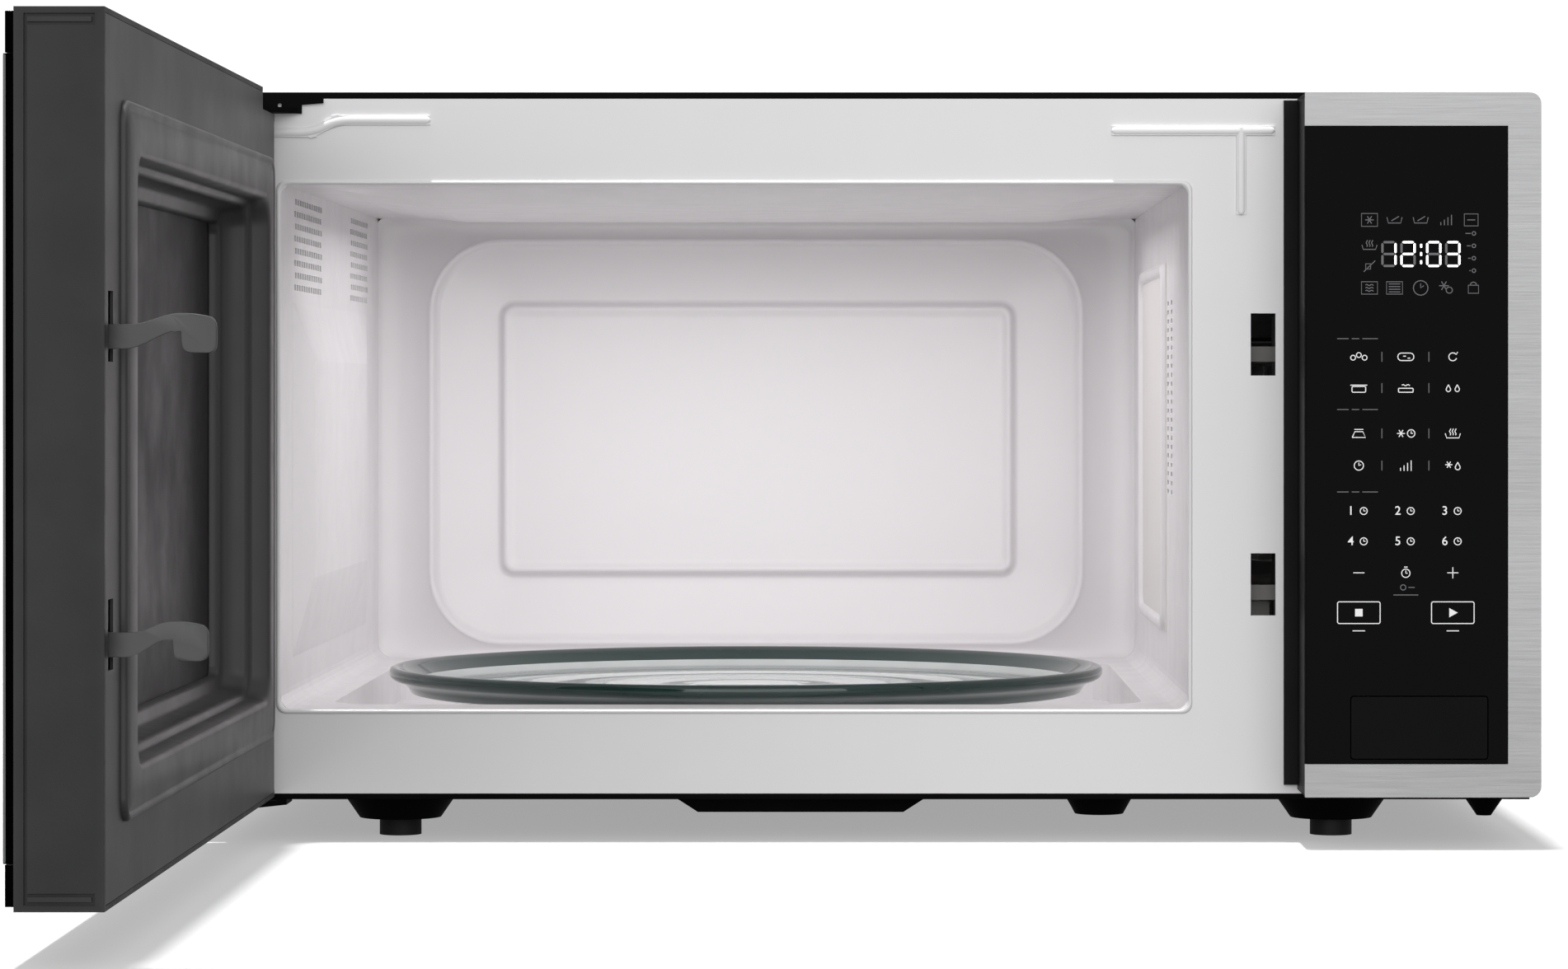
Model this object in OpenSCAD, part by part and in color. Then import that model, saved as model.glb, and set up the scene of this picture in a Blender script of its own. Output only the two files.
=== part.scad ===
// Countertop microwave oven with a side-hinged door, standing open at rest.
// Millimetres. +Z is up and the front faces -Y. The origin is on the surface
// that the feet stand on, below the middle of the closed oven.

/* [Cabinet] */
// Overall width of the cabinet
case_w = 610; // [600:1:740]
// Height of the cabinet above its base
case_h = 325; // [316:1:400]
// Depth of the cabinet behind the front plate
case_d = 480; // [478:1:600]
// Sheet thickness of the outer case
case_t = 1; // [0.6:0.1:1.5]
// Height of the base above the surface
foot_h = 19.4; // [16:0.1:30]
// Sheet thickness of the enamelled front plate
plate_t = 1.2; // [0.8:0.1:2]
// Thickness of everything in front of the front plate when closed
front_d = 40; // [36:0.5:52]

/* [Oven cavity] */
// Clear width of the cavity
cavity_w = 418.6; // [380:0.1:420]
// Clear height of the cavity
cavity_h = 242.8; // [200:0.1:250]
// Clear depth of the cavity
cavity_d = 455; // [410:1:456]
// From the left side of the cabinet to the cavity
cavity_side = 35.3; // [30:0.1:50]
// From the base up to the cavity's floor
sill_h = 40.5; // [38:0.5:50]
// Sheet thickness of the cavity's walls
liner_t = 1; // [0.6:0.1:1.5]
// Depth of the well pressed into the floor
well_depth = 19.9; // [18:0.1:22]
// Flat sill in front of the well
sill_d = 48; // [30:1:70]

/* [Turntable] */
// Diameter of the glass tray
tray_d = 360; // [300:1:372]
// Height of the glass tray
tray_h = 14.3; // [12:0.1:20]
// Thickness of the tray's floor
tray_t = 4; // [3:0.1:5]
// Diameter of a roller wheel
wheel_d = 14; // [12:0.1:14.4]
// Radius of the circle that the wheels run on
track_r = 112; // [90:1:118]

/* [Door] */
// Width of the control panel beside the door
panel_w = 106.7; // [104:0.1:112]
// Gap between the door and the control panel
door_gap = 1.5; // [1:0.1:3]
// Gap between the closed door and the front plate
seal_gap = 3.9; // [3.5:0.1:5]
// Thickness of the front glass
glass_t = 3.8; // [3:0.1:5]
// How far the front glass stands out from the steel
glass_proud = 0.8; // [0.4:0.1:1.2]
// Width of the steel strips round the glass
strip_w = 15; // [10:0.5:20]
// Wall thickness of the plastic door frame
door_wall = 3; // [2:0.1:4]
// Radius of a hinge pin
pin_r = 2.5; // [2:0.1:3]
// How far the choke cover reaches past the cavity's mouth
choke_lap = 10; // [8:0.5:12]
// How far the choke cover stands out from the door
choke_proud = 2.5; // [1:0.1:3]

/* [Latch] */
// Height of the lower hook's arm above the base
hook_low = 92.1; // [85:0.1:110]
// Distance from the lower hook to the upper hook
hook_pitch = 110.3; // [90:0.1:130]
// Reach of the upper hook behind the door
hook_reach = 38; // [34:0.5:40]
// Height of a hook's arm
hook_h = 8.8; // [7:0.1:10]
// Height of a latch slot in the front plate
slot_h = 28.6; // [26:0.1:32]
// Width of a latch slot in the front plate
slot_w = 11.4; // [9:0.1:13]
// From the door's free edge to the middle of the hooks
hook_edge = 14.2; // [12:0.1:16]

/* [Controls] */
// Width of the door release button
button_w = 61.4; // [40:0.1:66]
// Height of the door release button
button_h = 27.9; // [20:0.1:30]
// Gap round the button
button_gap = 0.5; // [0.3:0.1:1]
// Width of the display window
display_w = 55.3; // [40:0.1:60]
// Height of the display window
display_h = 38.1; // [30:0.1:45]

/* [Hidden] */

// Clearances
fit = 0.2;
run_fit = 0.05;
move_gap = 0.5;
cut = 1;

// Main planes of the cabinet
half_w = case_w / 2;
base_z = foot_h;
top_z = foot_h + case_h;
plate_y = front_d - (case_d + front_d) / 2;
rear_y = plate_y + case_d;
inner_x = half_w - case_t - fit;
hem_h = 3;
plate_z0 = base_z + 2.7;
plate_z1 = top_z - hem_h;

// Cavity
cav_x0 = -half_w + cavity_side;
cav_x1 = cav_x0 + cavity_w;
cav_cx = (cav_x0 + cav_x1) / 2;
cav_z0 = base_z + sill_h;
cav_z1 = cav_z0 + cavity_h;
cav_y0 = plate_y + plate_t;
cav_y1 = plate_y + cavity_d;
cav_r = 8.5;
mouth_r = 5;

// Well, tray and rollers
tray_r = tray_d / 2;
tray_foot_r = tray_r - 10;
well_z = cav_z0 - well_depth;
well_margin = 8.5;
well_r = 26;
well_y0 = plate_y + sill_d;
tray_cy = well_y0 + tray_foot_r + well_margin;
well_y1 = tray_cy + tray_foot_r + well_margin;
well_half_w = tray_foot_r + 2.5 * well_margin;
touch_gap = 0.3;
wheel_r = wheel_d / 2;
wheel_w = 7;
axle_r = 1.5;
axle_z = well_z + touch_gap + wheel_r;
tray_z = axle_z + wheel_r + touch_gap;
ring_r = track_r - wheel_w / 2 - 6;
shaft_r = 3.5;
coupler_r = 24;

// Door, given closed and then swung open about the hinge
panel_x0 = half_w - panel_w;
door_x0 = -half_w;
door_x1 = panel_x0 - door_gap;
door_z0 = base_z + 2.3;
door_z1 = top_z - 1.1;
fascia_z0 = base_z + 4.1;
fascia_z1 = top_z - 2.5;
front_y = plate_y - front_d;
shell_y = front_y + glass_t;
steel_y = front_y + glass_proud;
door_back_y = plate_y - seal_gap;
hinge_x = door_x0 + 16.9;
hinge_y = door_back_y - 18.1;
hinge_round = 8.5;
door_panel_t = 1.2;
door_open = -90;

// Window and choke cover
choke_x0 = cav_x0 - choke_lap;
choke_x1 = cav_x1 + choke_lap;
choke_z0 = cav_z0 - choke_lap;
choke_z1 = cav_z1 + choke_lap;
window_x0 = cav_x0 + 7.7;
window_x1 = cav_x1 - 17.9;
window_z0 = cav_z0 + 8.6;
window_z1 = cav_z1 - 9.2;
window_r = 13;
recess_d = 18;
pane_d = 24;
pane_t = 1;
screen_t = 0.8;
choke_wall = 1.5;

// Hinge brackets
bracket_t = 2.5;
arm_z = plate_z1 - 6.8;
pin_len = 16;
pin_boss_r = 6.5;

// Latch
hook_x = door_x1 - hook_edge;
hook_t = 4;
hook_rise = 6.4;
hook_lip = 7.9;
hook_lip_len = 12;
hook_levels = [base_z + hook_low, base_z + hook_low + hook_pitch];
hook_reaches = [hook_reach - 3, hook_reach];
bar_y0 = door_back_y - 16;
bar_y1 = door_back_y - 5;
ledge_d = 3.6;
ledge_h = 7;

// Controls
panel_wall = 2.5;
glass_x1 = half_w - strip_w;
panel_glass_x0 = panel_x0 + 0.7;
strip_gap = 0.2;
button_cx = panel_x0 + 51.5;
button_z0 = fascia_z0 + strip_w + 2.6;
button_z1 = button_z0 + button_h;
button_d = 22;
display_cx = button_cx;
display_z0 = fascia_z1 - strip_w - 38.5 - display_h;
lever_arm = 30;
lever_pad = 3;
lever_z = button_z1 - lever_pad + lever_arm;
lever_y = plate_y - 8;
lever_pin_r = 2.5;
finger_y0 = plate_y + 25;
finger_y1 = finger_y0 + 4;
lip_w = 6.3;

// Machine compartment, to the right of the cavity
bay_x0 = cav_x1 + liner_t + 1.5;
fan_r = 52;
fan_cx = bay_x0 + 68;
fan_cy = rear_y - 48;
fan_z = base_z + 150;

// A box between two corners
module block(x, y, z) {
    translate([x[0], y[0], z[0]]) cube([x[1] - x[0], y[1] - y[0], z[1] - z[0]]);
}

function arc(cx, cy, r, a0, a1, n = 6) =
    [for (i = [0:n]) let (a = a0 + (a1 - a0) * i / n) [cx + r * cos(a), cy + r * sin(a)]];

// Rectangle with round corners, its right corners r and its left corners s
function soft_rect(x, y, r, s) = concat(
    arc(x[1] - r, y[1] - r, r, 0, 90), arc(x[0] + s, y[1] - s, s, 90, 180),
    arc(x[0] + s, y[0] + s, s, 180, 270), arc(x[1] - r, y[0] + r, r, 270, 360));

// A rounded plate that stands in the X-Z plane
module upright(x, y, z, r, s) {
    translate([0, y[1], 0]) rotate([90, 0, 0]) linear_extrude(y[1] - y[0])
        polygon(soft_rect(x, z, r, is_undef(s) ? r : s));
}

// A rounded plate that lies flat
module flat(x, y, z, r) {
    translate([0, 0, z[0]]) linear_extrude(z[1] - z[0]) polygon(soft_rect(x, y, r, r));
}

// An outline in the Y-Z plane, as thick as x says
module side_outline(x, points) {
    translate([x[0], 0, 0]) rotate([90, 0, 90]) linear_extrude(x[1] - x[0]) polygon(points);
}

module rod_x(x, y, z, r) {
    translate([x[0], y, z]) rotate([0, 90, 0]) cylinder(h = x[1] - x[0], r = r, $fn = 48);
}

module rod_y(x, y, z, r) {
    translate([x, y[0], z]) rotate([-90, 0, 0]) cylinder(h = y[1] - y[0], r = r, $fn = 48);
}

module rod_z(x, y, z, r) {
    translate([x, y, z[0]]) cylinder(h = z[1] - z[0], r = r, $fn = 48);
}

// One straight length of a pressed bead on the front plate
module bead(from, to) {
    bead_w = 4.2;
    run = to - from;
    translate([from[0], plate_y, from[1]]) rotate([0, -atan2(run[1], run[0]), 0])
        translate([-bead_w / 2, -0.9, -bead_w / 2]) cube([norm(run) + bead_w, 0.9 + cut, bead_w]);
}

module bead_path(points) {
    for (i = [0:len(points) - 2]) bead(points[i], points[i + 1]);
}

// A shallow pressing on an upright panel, tapering towards the rear
module pressing(x, y, z, r, slope) {
    hull() {
        upright(x, [y[0], y[0] + 0.1], z, r);
        upright([x[0] + slope, x[1] - slope], [y[1] - 0.1, y[1]],
            [z[0] + slope, z[1] - slope], r / 3);
    }
}

module door_swing() {
    translate([hinge_x, hinge_y, 0]) rotate([0, 0, door_open])
        translate([-hinge_x, -hinge_y, 0]) children();
}

// ---- Cabinet ----

module outer_case() {
    vent_pitch = 9;
    color("#101010") difference() {
        union() {
            block([-half_w, half_w], [plate_y, rear_y], [top_z - case_t, top_z]);
            for (s = [-1, 1])
                block([s * half_w - (s > 0 ? case_t : 0), s * half_w + (s < 0 ? case_t : 0)],
                    [plate_y, rear_y], [base_z, top_z]);
            block([-half_w, half_w], [plate_y, plate_y + 12], [top_z - hem_h, top_z]);
        }
        for (i = [0:11])
            block([half_w - case_t - cut, half_w + cut],
                [rear_y - 150, rear_y - 90], [base_z + 60 + i * vent_pitch, base_z + 64 + i * vent_pitch]);
        for (i = [0:7])
            block([-half_w - cut, -half_w + case_t + cut],
                [rear_y - 130, rear_y - 80], [base_z + 60 + i * vent_pitch, base_z + 64 + i * vent_pitch]);
    }
}

foot_x = half_w - 87.5;
foot_inset = 40;
foot_rear_inset = 70;
foot_r = 9.75;
foot_stem_r = 3;
cup_drop = foot_h - 8.1;

// A cup pressed down out of the base, wide at the top
module cup(x, y, r0, r1, drop) {
    translate([x, y, base_z - drop]) cylinder(h = drop + case_t, r1 = r1, r2 = r0, $fn = 48);
}

module cup_hollow(x, y, r0, r1, drop) {
    translate([x, y, base_z - drop + case_t])
        cylinder(h = drop + cut, r1 = r1 - case_t, r2 = r0 - case_t, $fn = 48);
}

// Each pressed cup: place, top radius, bottom radius, drop
cups = [
    for (x = [-foot_x, foot_x]) for (y = [plate_y + foot_inset, rear_y - foot_rear_inset])
        [x, y, 27.5, 19, cup_drop],
    [half_w - 196.4, plate_y + 30, 16.9, 11.3, 8.9],
    [half_w - 17.2, plate_y + 30, 10.8, 3.4, 9.8]];

// A shallow trough pressed down along the front of the base
module trough(grow) {
    x = [-91 - grow, 30.5 + grow];
    z = [base_z + case_t, base_z - 8 - grow + case_t];
    translate([0, plate_y + 52 + grow, 0]) rotate([90, 0, 0]) linear_extrude(26 + 2 * grow)
        polygon([[x[0], z[0]], [x[0] + 14, z[1]], [x[1] - 14, z[1]], [x[1], z[0]]]);
}

module base_plate() {
    color("#2b2b2c") difference() {
        union() {
            block([-inner_x, inner_x], [plate_y, rear_y - case_t - fit], [base_z, base_z + case_t]);
            block([-inner_x, inner_x], [plate_y, plate_y + case_t], [base_z, plate_z0]);
            for (c = cups) cup(c[0], c[1], c[2], c[3], c[4]);
            trough(case_t);
        }
        trough(0);
        for (c = cups) if (c[4] == cup_drop)
            rod_z(c[0], c[1], [base_z - cup_drop - cut, base_z], foot_stem_r + fit);
        for (c = cups) cup_hollow(c[0], c[1], c[2], c[3], c[4]);
        for (i = [0:7])
            block([bay_x0 + 30 + i * 10, bay_x0 + 35 + i * 10], [rear_y - 140, rear_y - 100],
                [base_z - cut, base_z + case_t + cut]);
    }
}

module foot(x, y) {
    color("#0c0c0c") difference() {
        union() {
            rod_z(x, y, [0, base_z - cup_drop], foot_r);
            rod_z(x, y, [base_z - cup_drop - cut, base_z - cup_drop + case_t], foot_stem_r);
        }
        rod_z(x, y, [-cut, 2.5], foot_stem_r);
    }
}

module foot_front_left() foot(-foot_x, plate_y + foot_inset);
module foot_front_right() foot(foot_x, plate_y + foot_inset);
module foot_rear_left() foot(-foot_x, rear_y - foot_rear_inset);
module foot_rear_right() foot(foot_x, rear_y - foot_rear_inset);

gland_x = bay_x0 + 118;
gland_z = base_z + 40;
gland_r = 9;
screw_r = 2;
screw_places = [for (x = [-inner_x + 14, 0, inner_x - 14]) for (z = [base_z + 14, top_z - 16]) [x, z]];

module back_panel() {
    color("#5b5d60") difference() {
        block([-inner_x, inner_x], [rear_y - case_t, rear_y], [base_z + case_t + fit, top_z - case_t - fit]);
        for (i = [0:8]) for (j = [0:2])
            block([fan_cx - 48 + j * 34, fan_cx - 20 + j * 34], [rear_y - case_t - cut, rear_y + cut],
                [fan_z - 42 + i * 10, fan_z - 37 + i * 10]);
        for (i = [0:5])
            block([cav_x0 + 20 + i * 30, cav_x0 + 42 + i * 30], [rear_y - case_t - cut, rear_y + cut],
                [cav_z1 - 20, cav_z1 - 15]);
        rod_y(gland_x, [rear_y - case_t - cut, rear_y + cut], gland_z, gland_r);
        for (p = screw_places) rod_y(p[0], [rear_y - case_t - cut, rear_y + cut], p[1], screw_r);
    }
}

module case_screws() {
    color("#8a8c8f") for (p = screw_places) {
        rod_y(p[0], [rear_y, rear_y + 2], p[1], 4);
        rod_y(p[0], [rear_y - 8, rear_y + cut], p[1], screw_r);
    }
}

module cord_gland() {
    color("#141414") difference() {
        union() {
            rod_y(gland_x, [rear_y, rear_y + 6], gland_z, gland_r + 3);
            rod_y(gland_x, [rear_y - 10, rear_y + cut], gland_z, gland_r);
        }
        rod_y(gland_x, [rear_y - 10 - cut, rear_y + 6 + cut], gland_z, 4);
    }
}

latch_slot_zs = [for (z = hook_levels) z - 7.6];
wiring_x = [panel_x0 + 16, half_w - 20];

module front_plate() {
    left = -half_w;
    bead_z = plate_z1 - 15.5;
    color("#d9d8da") difference() {
        union() {
            block([-inner_x, inner_x], [plate_y, plate_y + plate_t], [plate_z0, plate_z1]);
            bead_path([[left + 25, bead_z], [left + 50.8, bead_z],
                [left + 61.8, bead_z + 5.6], [left + 102.7, bead_z + 5.6]]);
            bead_path([[door_x1 - 81.6, bead_z + 0.8], [door_x1 - 11.2, bead_z + 0.8]]);
            bead_path([[door_x1 - 24.3, bead_z + 0.8], [door_x1 - 24.3, bead_z - 35.6]]);
        }
        upright([cav_x0, cav_x1], [plate_y - cut, plate_y + plate_t + cut], [cav_z0, cav_z1 + 2 * mouth_r], mouth_r);
        for (z = latch_slot_zs)
            block([hook_x - slot_w / 2, hook_x + slot_w / 2], [plate_y - cut, plate_y + plate_t + cut], [z, z + slot_h]);
        block(wiring_x, [plate_y - cut, plate_y + plate_t + cut], [lever_z - 7, lever_z + 60]);
        block([-inner_x - cut, inner_x + cut], [plate_y + plate_t, plate_y + plate_t + 2 * cut], [plate_z0, plate_z1]);
    }
    // strip of the plate above the mouth
    color("#d9d8da")
        block([cav_x0 - cut, cav_x1 + cut], [plate_y, plate_y + plate_t], [cav_z1, cav_z1 + 2 * mouth_r + cut]);
}

// ---- Cavity ----

module cavity_section() {
    polygon(concat([[cav_x0 - liner_t, cav_z1]],
        arc(cav_x0 + cav_r, cav_z0 + cav_r, cav_r + liner_t, 180, 270),
        arc(cav_x1 - cav_r, cav_z0 + cav_r, cav_r + liner_t, 270, 360),
        [[cav_x1 + liner_t, cav_z1], [cav_x1, cav_z1]],
        arc(cav_x1 - cav_r, cav_z0 + cav_r, cav_r, 360, 270),
        arc(cav_x0 + cav_r, cav_z0 + cav_r, cav_r, 270, 180),
        [[cav_x0, cav_z1]]));
}

vent_front_y = plate_y + 61;
vent_rear_y = plate_y + cavity_d - 146;
vent_z = cav_z1 - 48;
guide_y = plate_y + cavity_d - 254;
guide_z = cav_z0 + 92;
lamp_y = plate_y + 116;
lamp_z = cav_z0 + 97;

// Rows of small slots, each other row shifted sideways
module wall_slots(x, y0, z0, rows, count) {
    pitch = 9.6;
    for (r = [0:rows - 1]) for (i = [0:count - 1]) let (y = y0 + i * pitch + (r % 2) * 3, z = z0 + r * 5.8)
        block(x, [y, y + 6.6], [z, z + 2.8]);
}

// A stiffening boss that stands into the cavity from its left wall
module wall_boss(shift) {
    base_rect = [plate_y + 54, plate_y + cavity_d - 67, cav_z0 + 22, cav_z1 - 54];
    top_rect = [plate_y + 92, plate_y + cavity_d - 120, cav_z0 + 58, cav_z1 - 81];
    hull() for (r = [[base_rect, 0], [top_rect, 6 - 0.1]])
        block([cav_x0 + shift + r[1], cav_x0 + shift + r[1] + 0.1], [r[0][0], r[0][1]], [r[0][2], r[0][3]]);
}

module cavity_wrapper() {
    well_x = [cav_cx - well_half_w, cav_cx + well_half_w];
    wall = [cav_x0 - liner_t - cut, cav_x0 + cut];
    far_wall = [cav_x1 - cut, cav_x1 + liner_t + cut];
    color("#d2ced2") difference() {
        union() {
            translate([0, cav_y1, 0]) rotate([90, 0, 0]) linear_extrude(cav_y1 - cav_y0) cavity_section();
            flat([well_x[0] - liner_t, well_x[1] + liner_t], [well_y0 - liner_t, well_y1 + liner_t],
                [well_z - liner_t, cav_z0], well_r + liner_t);
            wall_boss(0);
        }
        wall_boss(-liner_t);
        flat(well_x, [well_y0, well_y1], [well_z, cav_z0 + cut], well_r);
        rod_z(cav_cx, tray_cy, [well_z - liner_t - cut, well_z + cut], shaft_r + 4);
        wall_slots(wall, vent_front_y, vent_z, 8, 12);
        wall_slots(wall, vent_rear_y, vent_z, 8, 9);
        for (y = [lamp_y + 11, lamp_y + 38, lamp_y + 74]) for (i = [0:21])
            block(far_wall, [y, y + 11], [lamp_z + i * 4.4, lamp_z + i * 4.4 + 2]);
        block(far_wall, [guide_y + 30, guide_y + 120], [guide_z, guide_z + 75]);
    }
}

module ceiling_boss(shift) {
    base_rect = [cav_x0 + 18, cav_x1 - 14, plate_y + 70, cav_y1 - 50];
    top_rect = [cav_x0 + 56, cav_x1 - 52, plate_y + 112, cav_y1 - 92];
    hull() for (r = [[base_rect, 0], [top_rect, -5]])
        block([r[0][0], r[0][1]], [r[0][2], r[0][3]], [cav_z1 + shift + r[1], cav_z1 + shift + r[1] + 0.1]);
}

module cavity_ceiling() {
    color("#cfcbd0") difference() {
        union() {
            block([cav_x0 - liner_t, cav_x1 + liner_t], [cav_y0, cav_y1], [cav_z1, cav_z1 + liner_t]);
            ceiling_boss(0);
        }
        ceiling_boss(liner_t);
    }
}

module cavity_back() {
    x = [cav_x0 + 31, cav_x1 - 31.6];
    z = [cav_z0 + 10.4, cav_z1 - 14.2];
    dish = 6;
    color("#d2ced2") difference() {
        union() {
            block([cav_x0 - liner_t, cav_x1 + liner_t], [cav_y1, cav_y1 + liner_t],
                [cav_z0 - liner_t, cav_z1 + liner_t]);
            pressing([x[0] - liner_t, x[1] + liner_t], [cav_y1, cav_y1 + dish + liner_t],
                [z[0] - liner_t, z[1] + liner_t], 37, 36);
        }
        pressing(x, [cav_y1 - 0.01, cav_y1 + dish], z, 36, 36);
    }
}

module waveguide_cover() {
    top = min(guide_z + 119, cav_z1 - 20);
    color("#c9c4c4") block([cav_x1 - 0.8, cav_x1], [guide_y - 30, guide_y + 169], [guide_z - 64, top]);
}

// ---- Hinges ----

module upper_hinge_bracket() {
    color("#151515") difference() {
        union() {
            block([hinge_x + 10.4, hinge_x + 29.1], [plate_y - 2, plate_y], [arm_z, plate_z1]);
            side = [[hinge_x + 29.1, arm_z + 4], [hinge_x + 39, plate_z1 - 2], [hinge_x + 39, plate_z1], [hinge_x + 29, plate_z1]];
            translate([0, plate_y, 0]) rotate([90, 0, 0]) linear_extrude(2) polygon(side);
            translate([0, 0, arm_z]) linear_extrude(bracket_t) polygon([
                [hinge_x + 10.4, plate_y], [hinge_x - 4.4, hinge_y + 4.4], [hinge_x - 6, hinge_y],
                [hinge_x, hinge_y - 6], [hinge_x + 4.4, hinge_y - 4.4], [hinge_x + 29.1, plate_y]]);
            rod_z(hinge_x, hinge_y, [arm_z - pin_len, arm_z + cut], pin_r);
        }
        rod_y(hinge_x + 19, [plate_y - 2 - cut, plate_y + cut], plate_z1 - 3, 1);
    }
}

module lower_hinge_bracket() {
    color("#151515") union() {
        translate([0, 0, base_z - bracket_t]) linear_extrude(bracket_t) polygon([
            [hinge_x - 6, plate_y + 22], [hinge_x - 6, hinge_y], [hinge_x - 4.4, hinge_y - 4.4],
            [hinge_x, hinge_y - 6], [hinge_x + 4.4, hinge_y - 4.4], [hinge_x + 22, plate_y], [hinge_x + 22, plate_y + 22]]);
        rod_z(hinge_x, hinge_y, [base_z - cut, door_z0 + pin_len], pin_r);
    }
}

// ---- Control panel ----

module control_housing() {
    body_x = [panel_x0, half_w - fit];
    front = [shell_y, shell_y + panel_wall];
    inner_z = [fascia_z0 + panel_wall, fascia_z1 - panel_wall];
    color("#2e2e2f") difference() {
        union() {
            difference() {
                upright(body_x, [shell_y, plate_y], [fascia_z0, fascia_z1], 4.5, 1);
                block([body_x[0] + panel_wall, body_x[1] - panel_wall], [front[1], plate_y + cut], inner_z);
            }
            block([panel_x0 - lip_w, panel_x0 + cut], [plate_y - 2, plate_y], [fascia_z0 + 2.7, fascia_z1 - 1.3]);
            for (x = [wiring_x[0] - 4, wiring_x[1] + 1])
                block([x, x + 3], [front[1] - cut, plate_y - 2], [lever_z - 6, lever_z + 6]);
            for (x = [body_x[0] + 9, body_x[1] - 9]) for (z = [lever_z + 20, fascia_z1 - 20])
                rod_y(x, [front[1] - cut, shell_y + 12], z, 3);
        }
        block([button_cx - button_w / 2 - button_gap, button_cx + button_w / 2 + button_gap],
            [shell_y - cut, front[1] + cut], [button_z0 - button_gap, button_z1 + button_gap]);
        block([display_cx - display_w / 2 - fit, display_cx + display_w / 2 + fit],
            [shell_y - cut, front[1] + cut], [display_z0 - fit, display_z0 + display_h + fit]);
        block([panel_x0 + 8, glass_x1 - 6], [shell_y - cut, shell_y + 0.6], [lever_z, display_z0 - 8]);
        rod_x([wiring_x[0] - 5, wiring_x[1] + 5], lever_y, lever_z, lever_pin_r + run_fit);
    }
}

module control_fascia() {
    color("#b4b5b7") difference() {
        upright([panel_x0, half_w], [steel_y, shell_y], [fascia_z0, fascia_z1], 5, 0.4);
        block([panel_x0 - cut, glass_x1], [steel_y - cut, shell_y + cut],
            [fascia_z0 + strip_w, fascia_z1 - strip_w]);
    }
}

module control_glass() {
    color("#101010") difference() {
        upright([panel_glass_x0, glass_x1 - strip_gap], [front_y, shell_y],
            [fascia_z0 + strip_w + strip_gap, fascia_z1 - strip_w - strip_gap], 0.8);
        upright([button_cx - button_w / 2 - button_gap, button_cx + button_w / 2 + button_gap],
            [front_y - cut, shell_y + cut], [button_z0 - button_gap, button_z1 + button_gap], 1.6);
    }
}

module display_module() {
    color("#1d2022") block([display_cx - display_w / 2, display_cx + display_w / 2],
        [shell_y, shell_y + 9], [display_z0, display_z0 + display_h]);
}

module touch_sensor() {
    color("#26282a") block([panel_x0 + 8 + fit, glass_x1 - 6 - fit], [shell_y, shell_y + 0.6],
        [lever_z + fit, display_z0 - 8 - fit]);
}

module control_board() {
    x = [panel_x0 + 5, half_w - 5];
    board = [shell_y + 12, shell_y + 13.6];
    color("#2f6b43") union() {
        block(x, board, [lever_z + 13, fascia_z1 - 12]);
        for (i = [0:2]) block([x[0] + 6 + i * 22, x[0] + 22 + i * 22], [board[1] - 0.5, board[1] + 15],
            [fascia_z1 - 50, fascia_z1 - 22]);
        block([x[0] + 10, x[0] + 48], [board[1] - 0.5, board[1] + 18], [lever_z + 60, lever_z + 92]);
        for (i = [0:3]) rod_y(x[1] - 14, [board[1] - 0.5, board[1] + 12], lever_z + 40 + i * 18, 5);
    }
}

module release_button() {
    inner = 2;
    color("#141414") difference() {
        upright([button_cx - button_w / 2, button_cx + button_w / 2], [front_y, front_y + button_d],
            [button_z0, button_z1], 1.2);
        for (s = [-1, 1])
            block([button_cx + (s < 0 ? inner - button_w / 2 : inner / 2), button_cx + (s < 0 ? -inner / 2 : button_w / 2 - inner)],
                [front_y + inner, front_y + button_d + cut], [button_z0 + inner, button_z1 - inner]);
    }
}

module release_lever() {
    foot_y = front_y + button_d + move_gap;
    finger_top = hook_levels[0] + hook_rise - hook_lip - move_gap;
    pad_z = lever_z - lever_arm;
    color("#d8d4c8") union() {
        side_outline([button_cx - 12, button_cx + 12], [
            [lever_y - 4, lever_z + 4], [lever_y + 4, lever_z + 4], [lever_y + 4, lever_z - 4],
            [foot_y + 4, pad_z - lever_pad], [foot_y, pad_z - lever_pad],
            [foot_y, pad_z + lever_pad], [foot_y + 2, pad_z + lever_pad + 2], [lever_y - 4, lever_z - 4]]);
        rod_x([wiring_x[0] - 4.5, wiring_x[1] + 4.5], lever_y, lever_z, lever_pin_r);
        block([wiring_x[0] + 3, wiring_x[0] + 11], [lever_y, finger_y1], [lever_z - 2.5, lever_z + 2.5]);
        block([hook_x - 5, wiring_x[0] + 11], [finger_y0, finger_y1], [lever_z - 2.5, lever_z + 2.5]);
        block([hook_x - 5, hook_x + 5], [finger_y0, finger_y1], [lever_z - 2.5, finger_top]);
    }
}

// ---- Latch behind the plate ----

module latch_board() {
    wall_x = [hook_x + slot_w / 2 + 2, hook_x + slot_w / 2 + 5];
    low = hook_levels[0] - 20;
    high = hook_levels[1] + 30;
    y0 = plate_y + plate_t;
    color("#e6e2d6") difference() {
        union() {
            block(wall_x, [y0, y0 + 44], [low, high]);
            block([hook_x + slot_w / 2 + 2, panel_x0 + 14], [y0, y0 + 3], [high - 30, high]);
            for (i = [0, 1])
                let (z = hook_levels[i] + hook_rise - move_gap, y = door_back_y + hook_reaches[i] - hook_lip_len - move_gap)
                    block([hook_x - 5, wall_x[0] + cut], [y - ledge_d, y], [z - ledge_h, z]);
        }
        block([wall_x[0] - cut, wall_x[1] + cut], [finger_y0 - 9, finger_y1 + 2], [low - cut, hook_levels[0] + 1]);
    }
}

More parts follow.
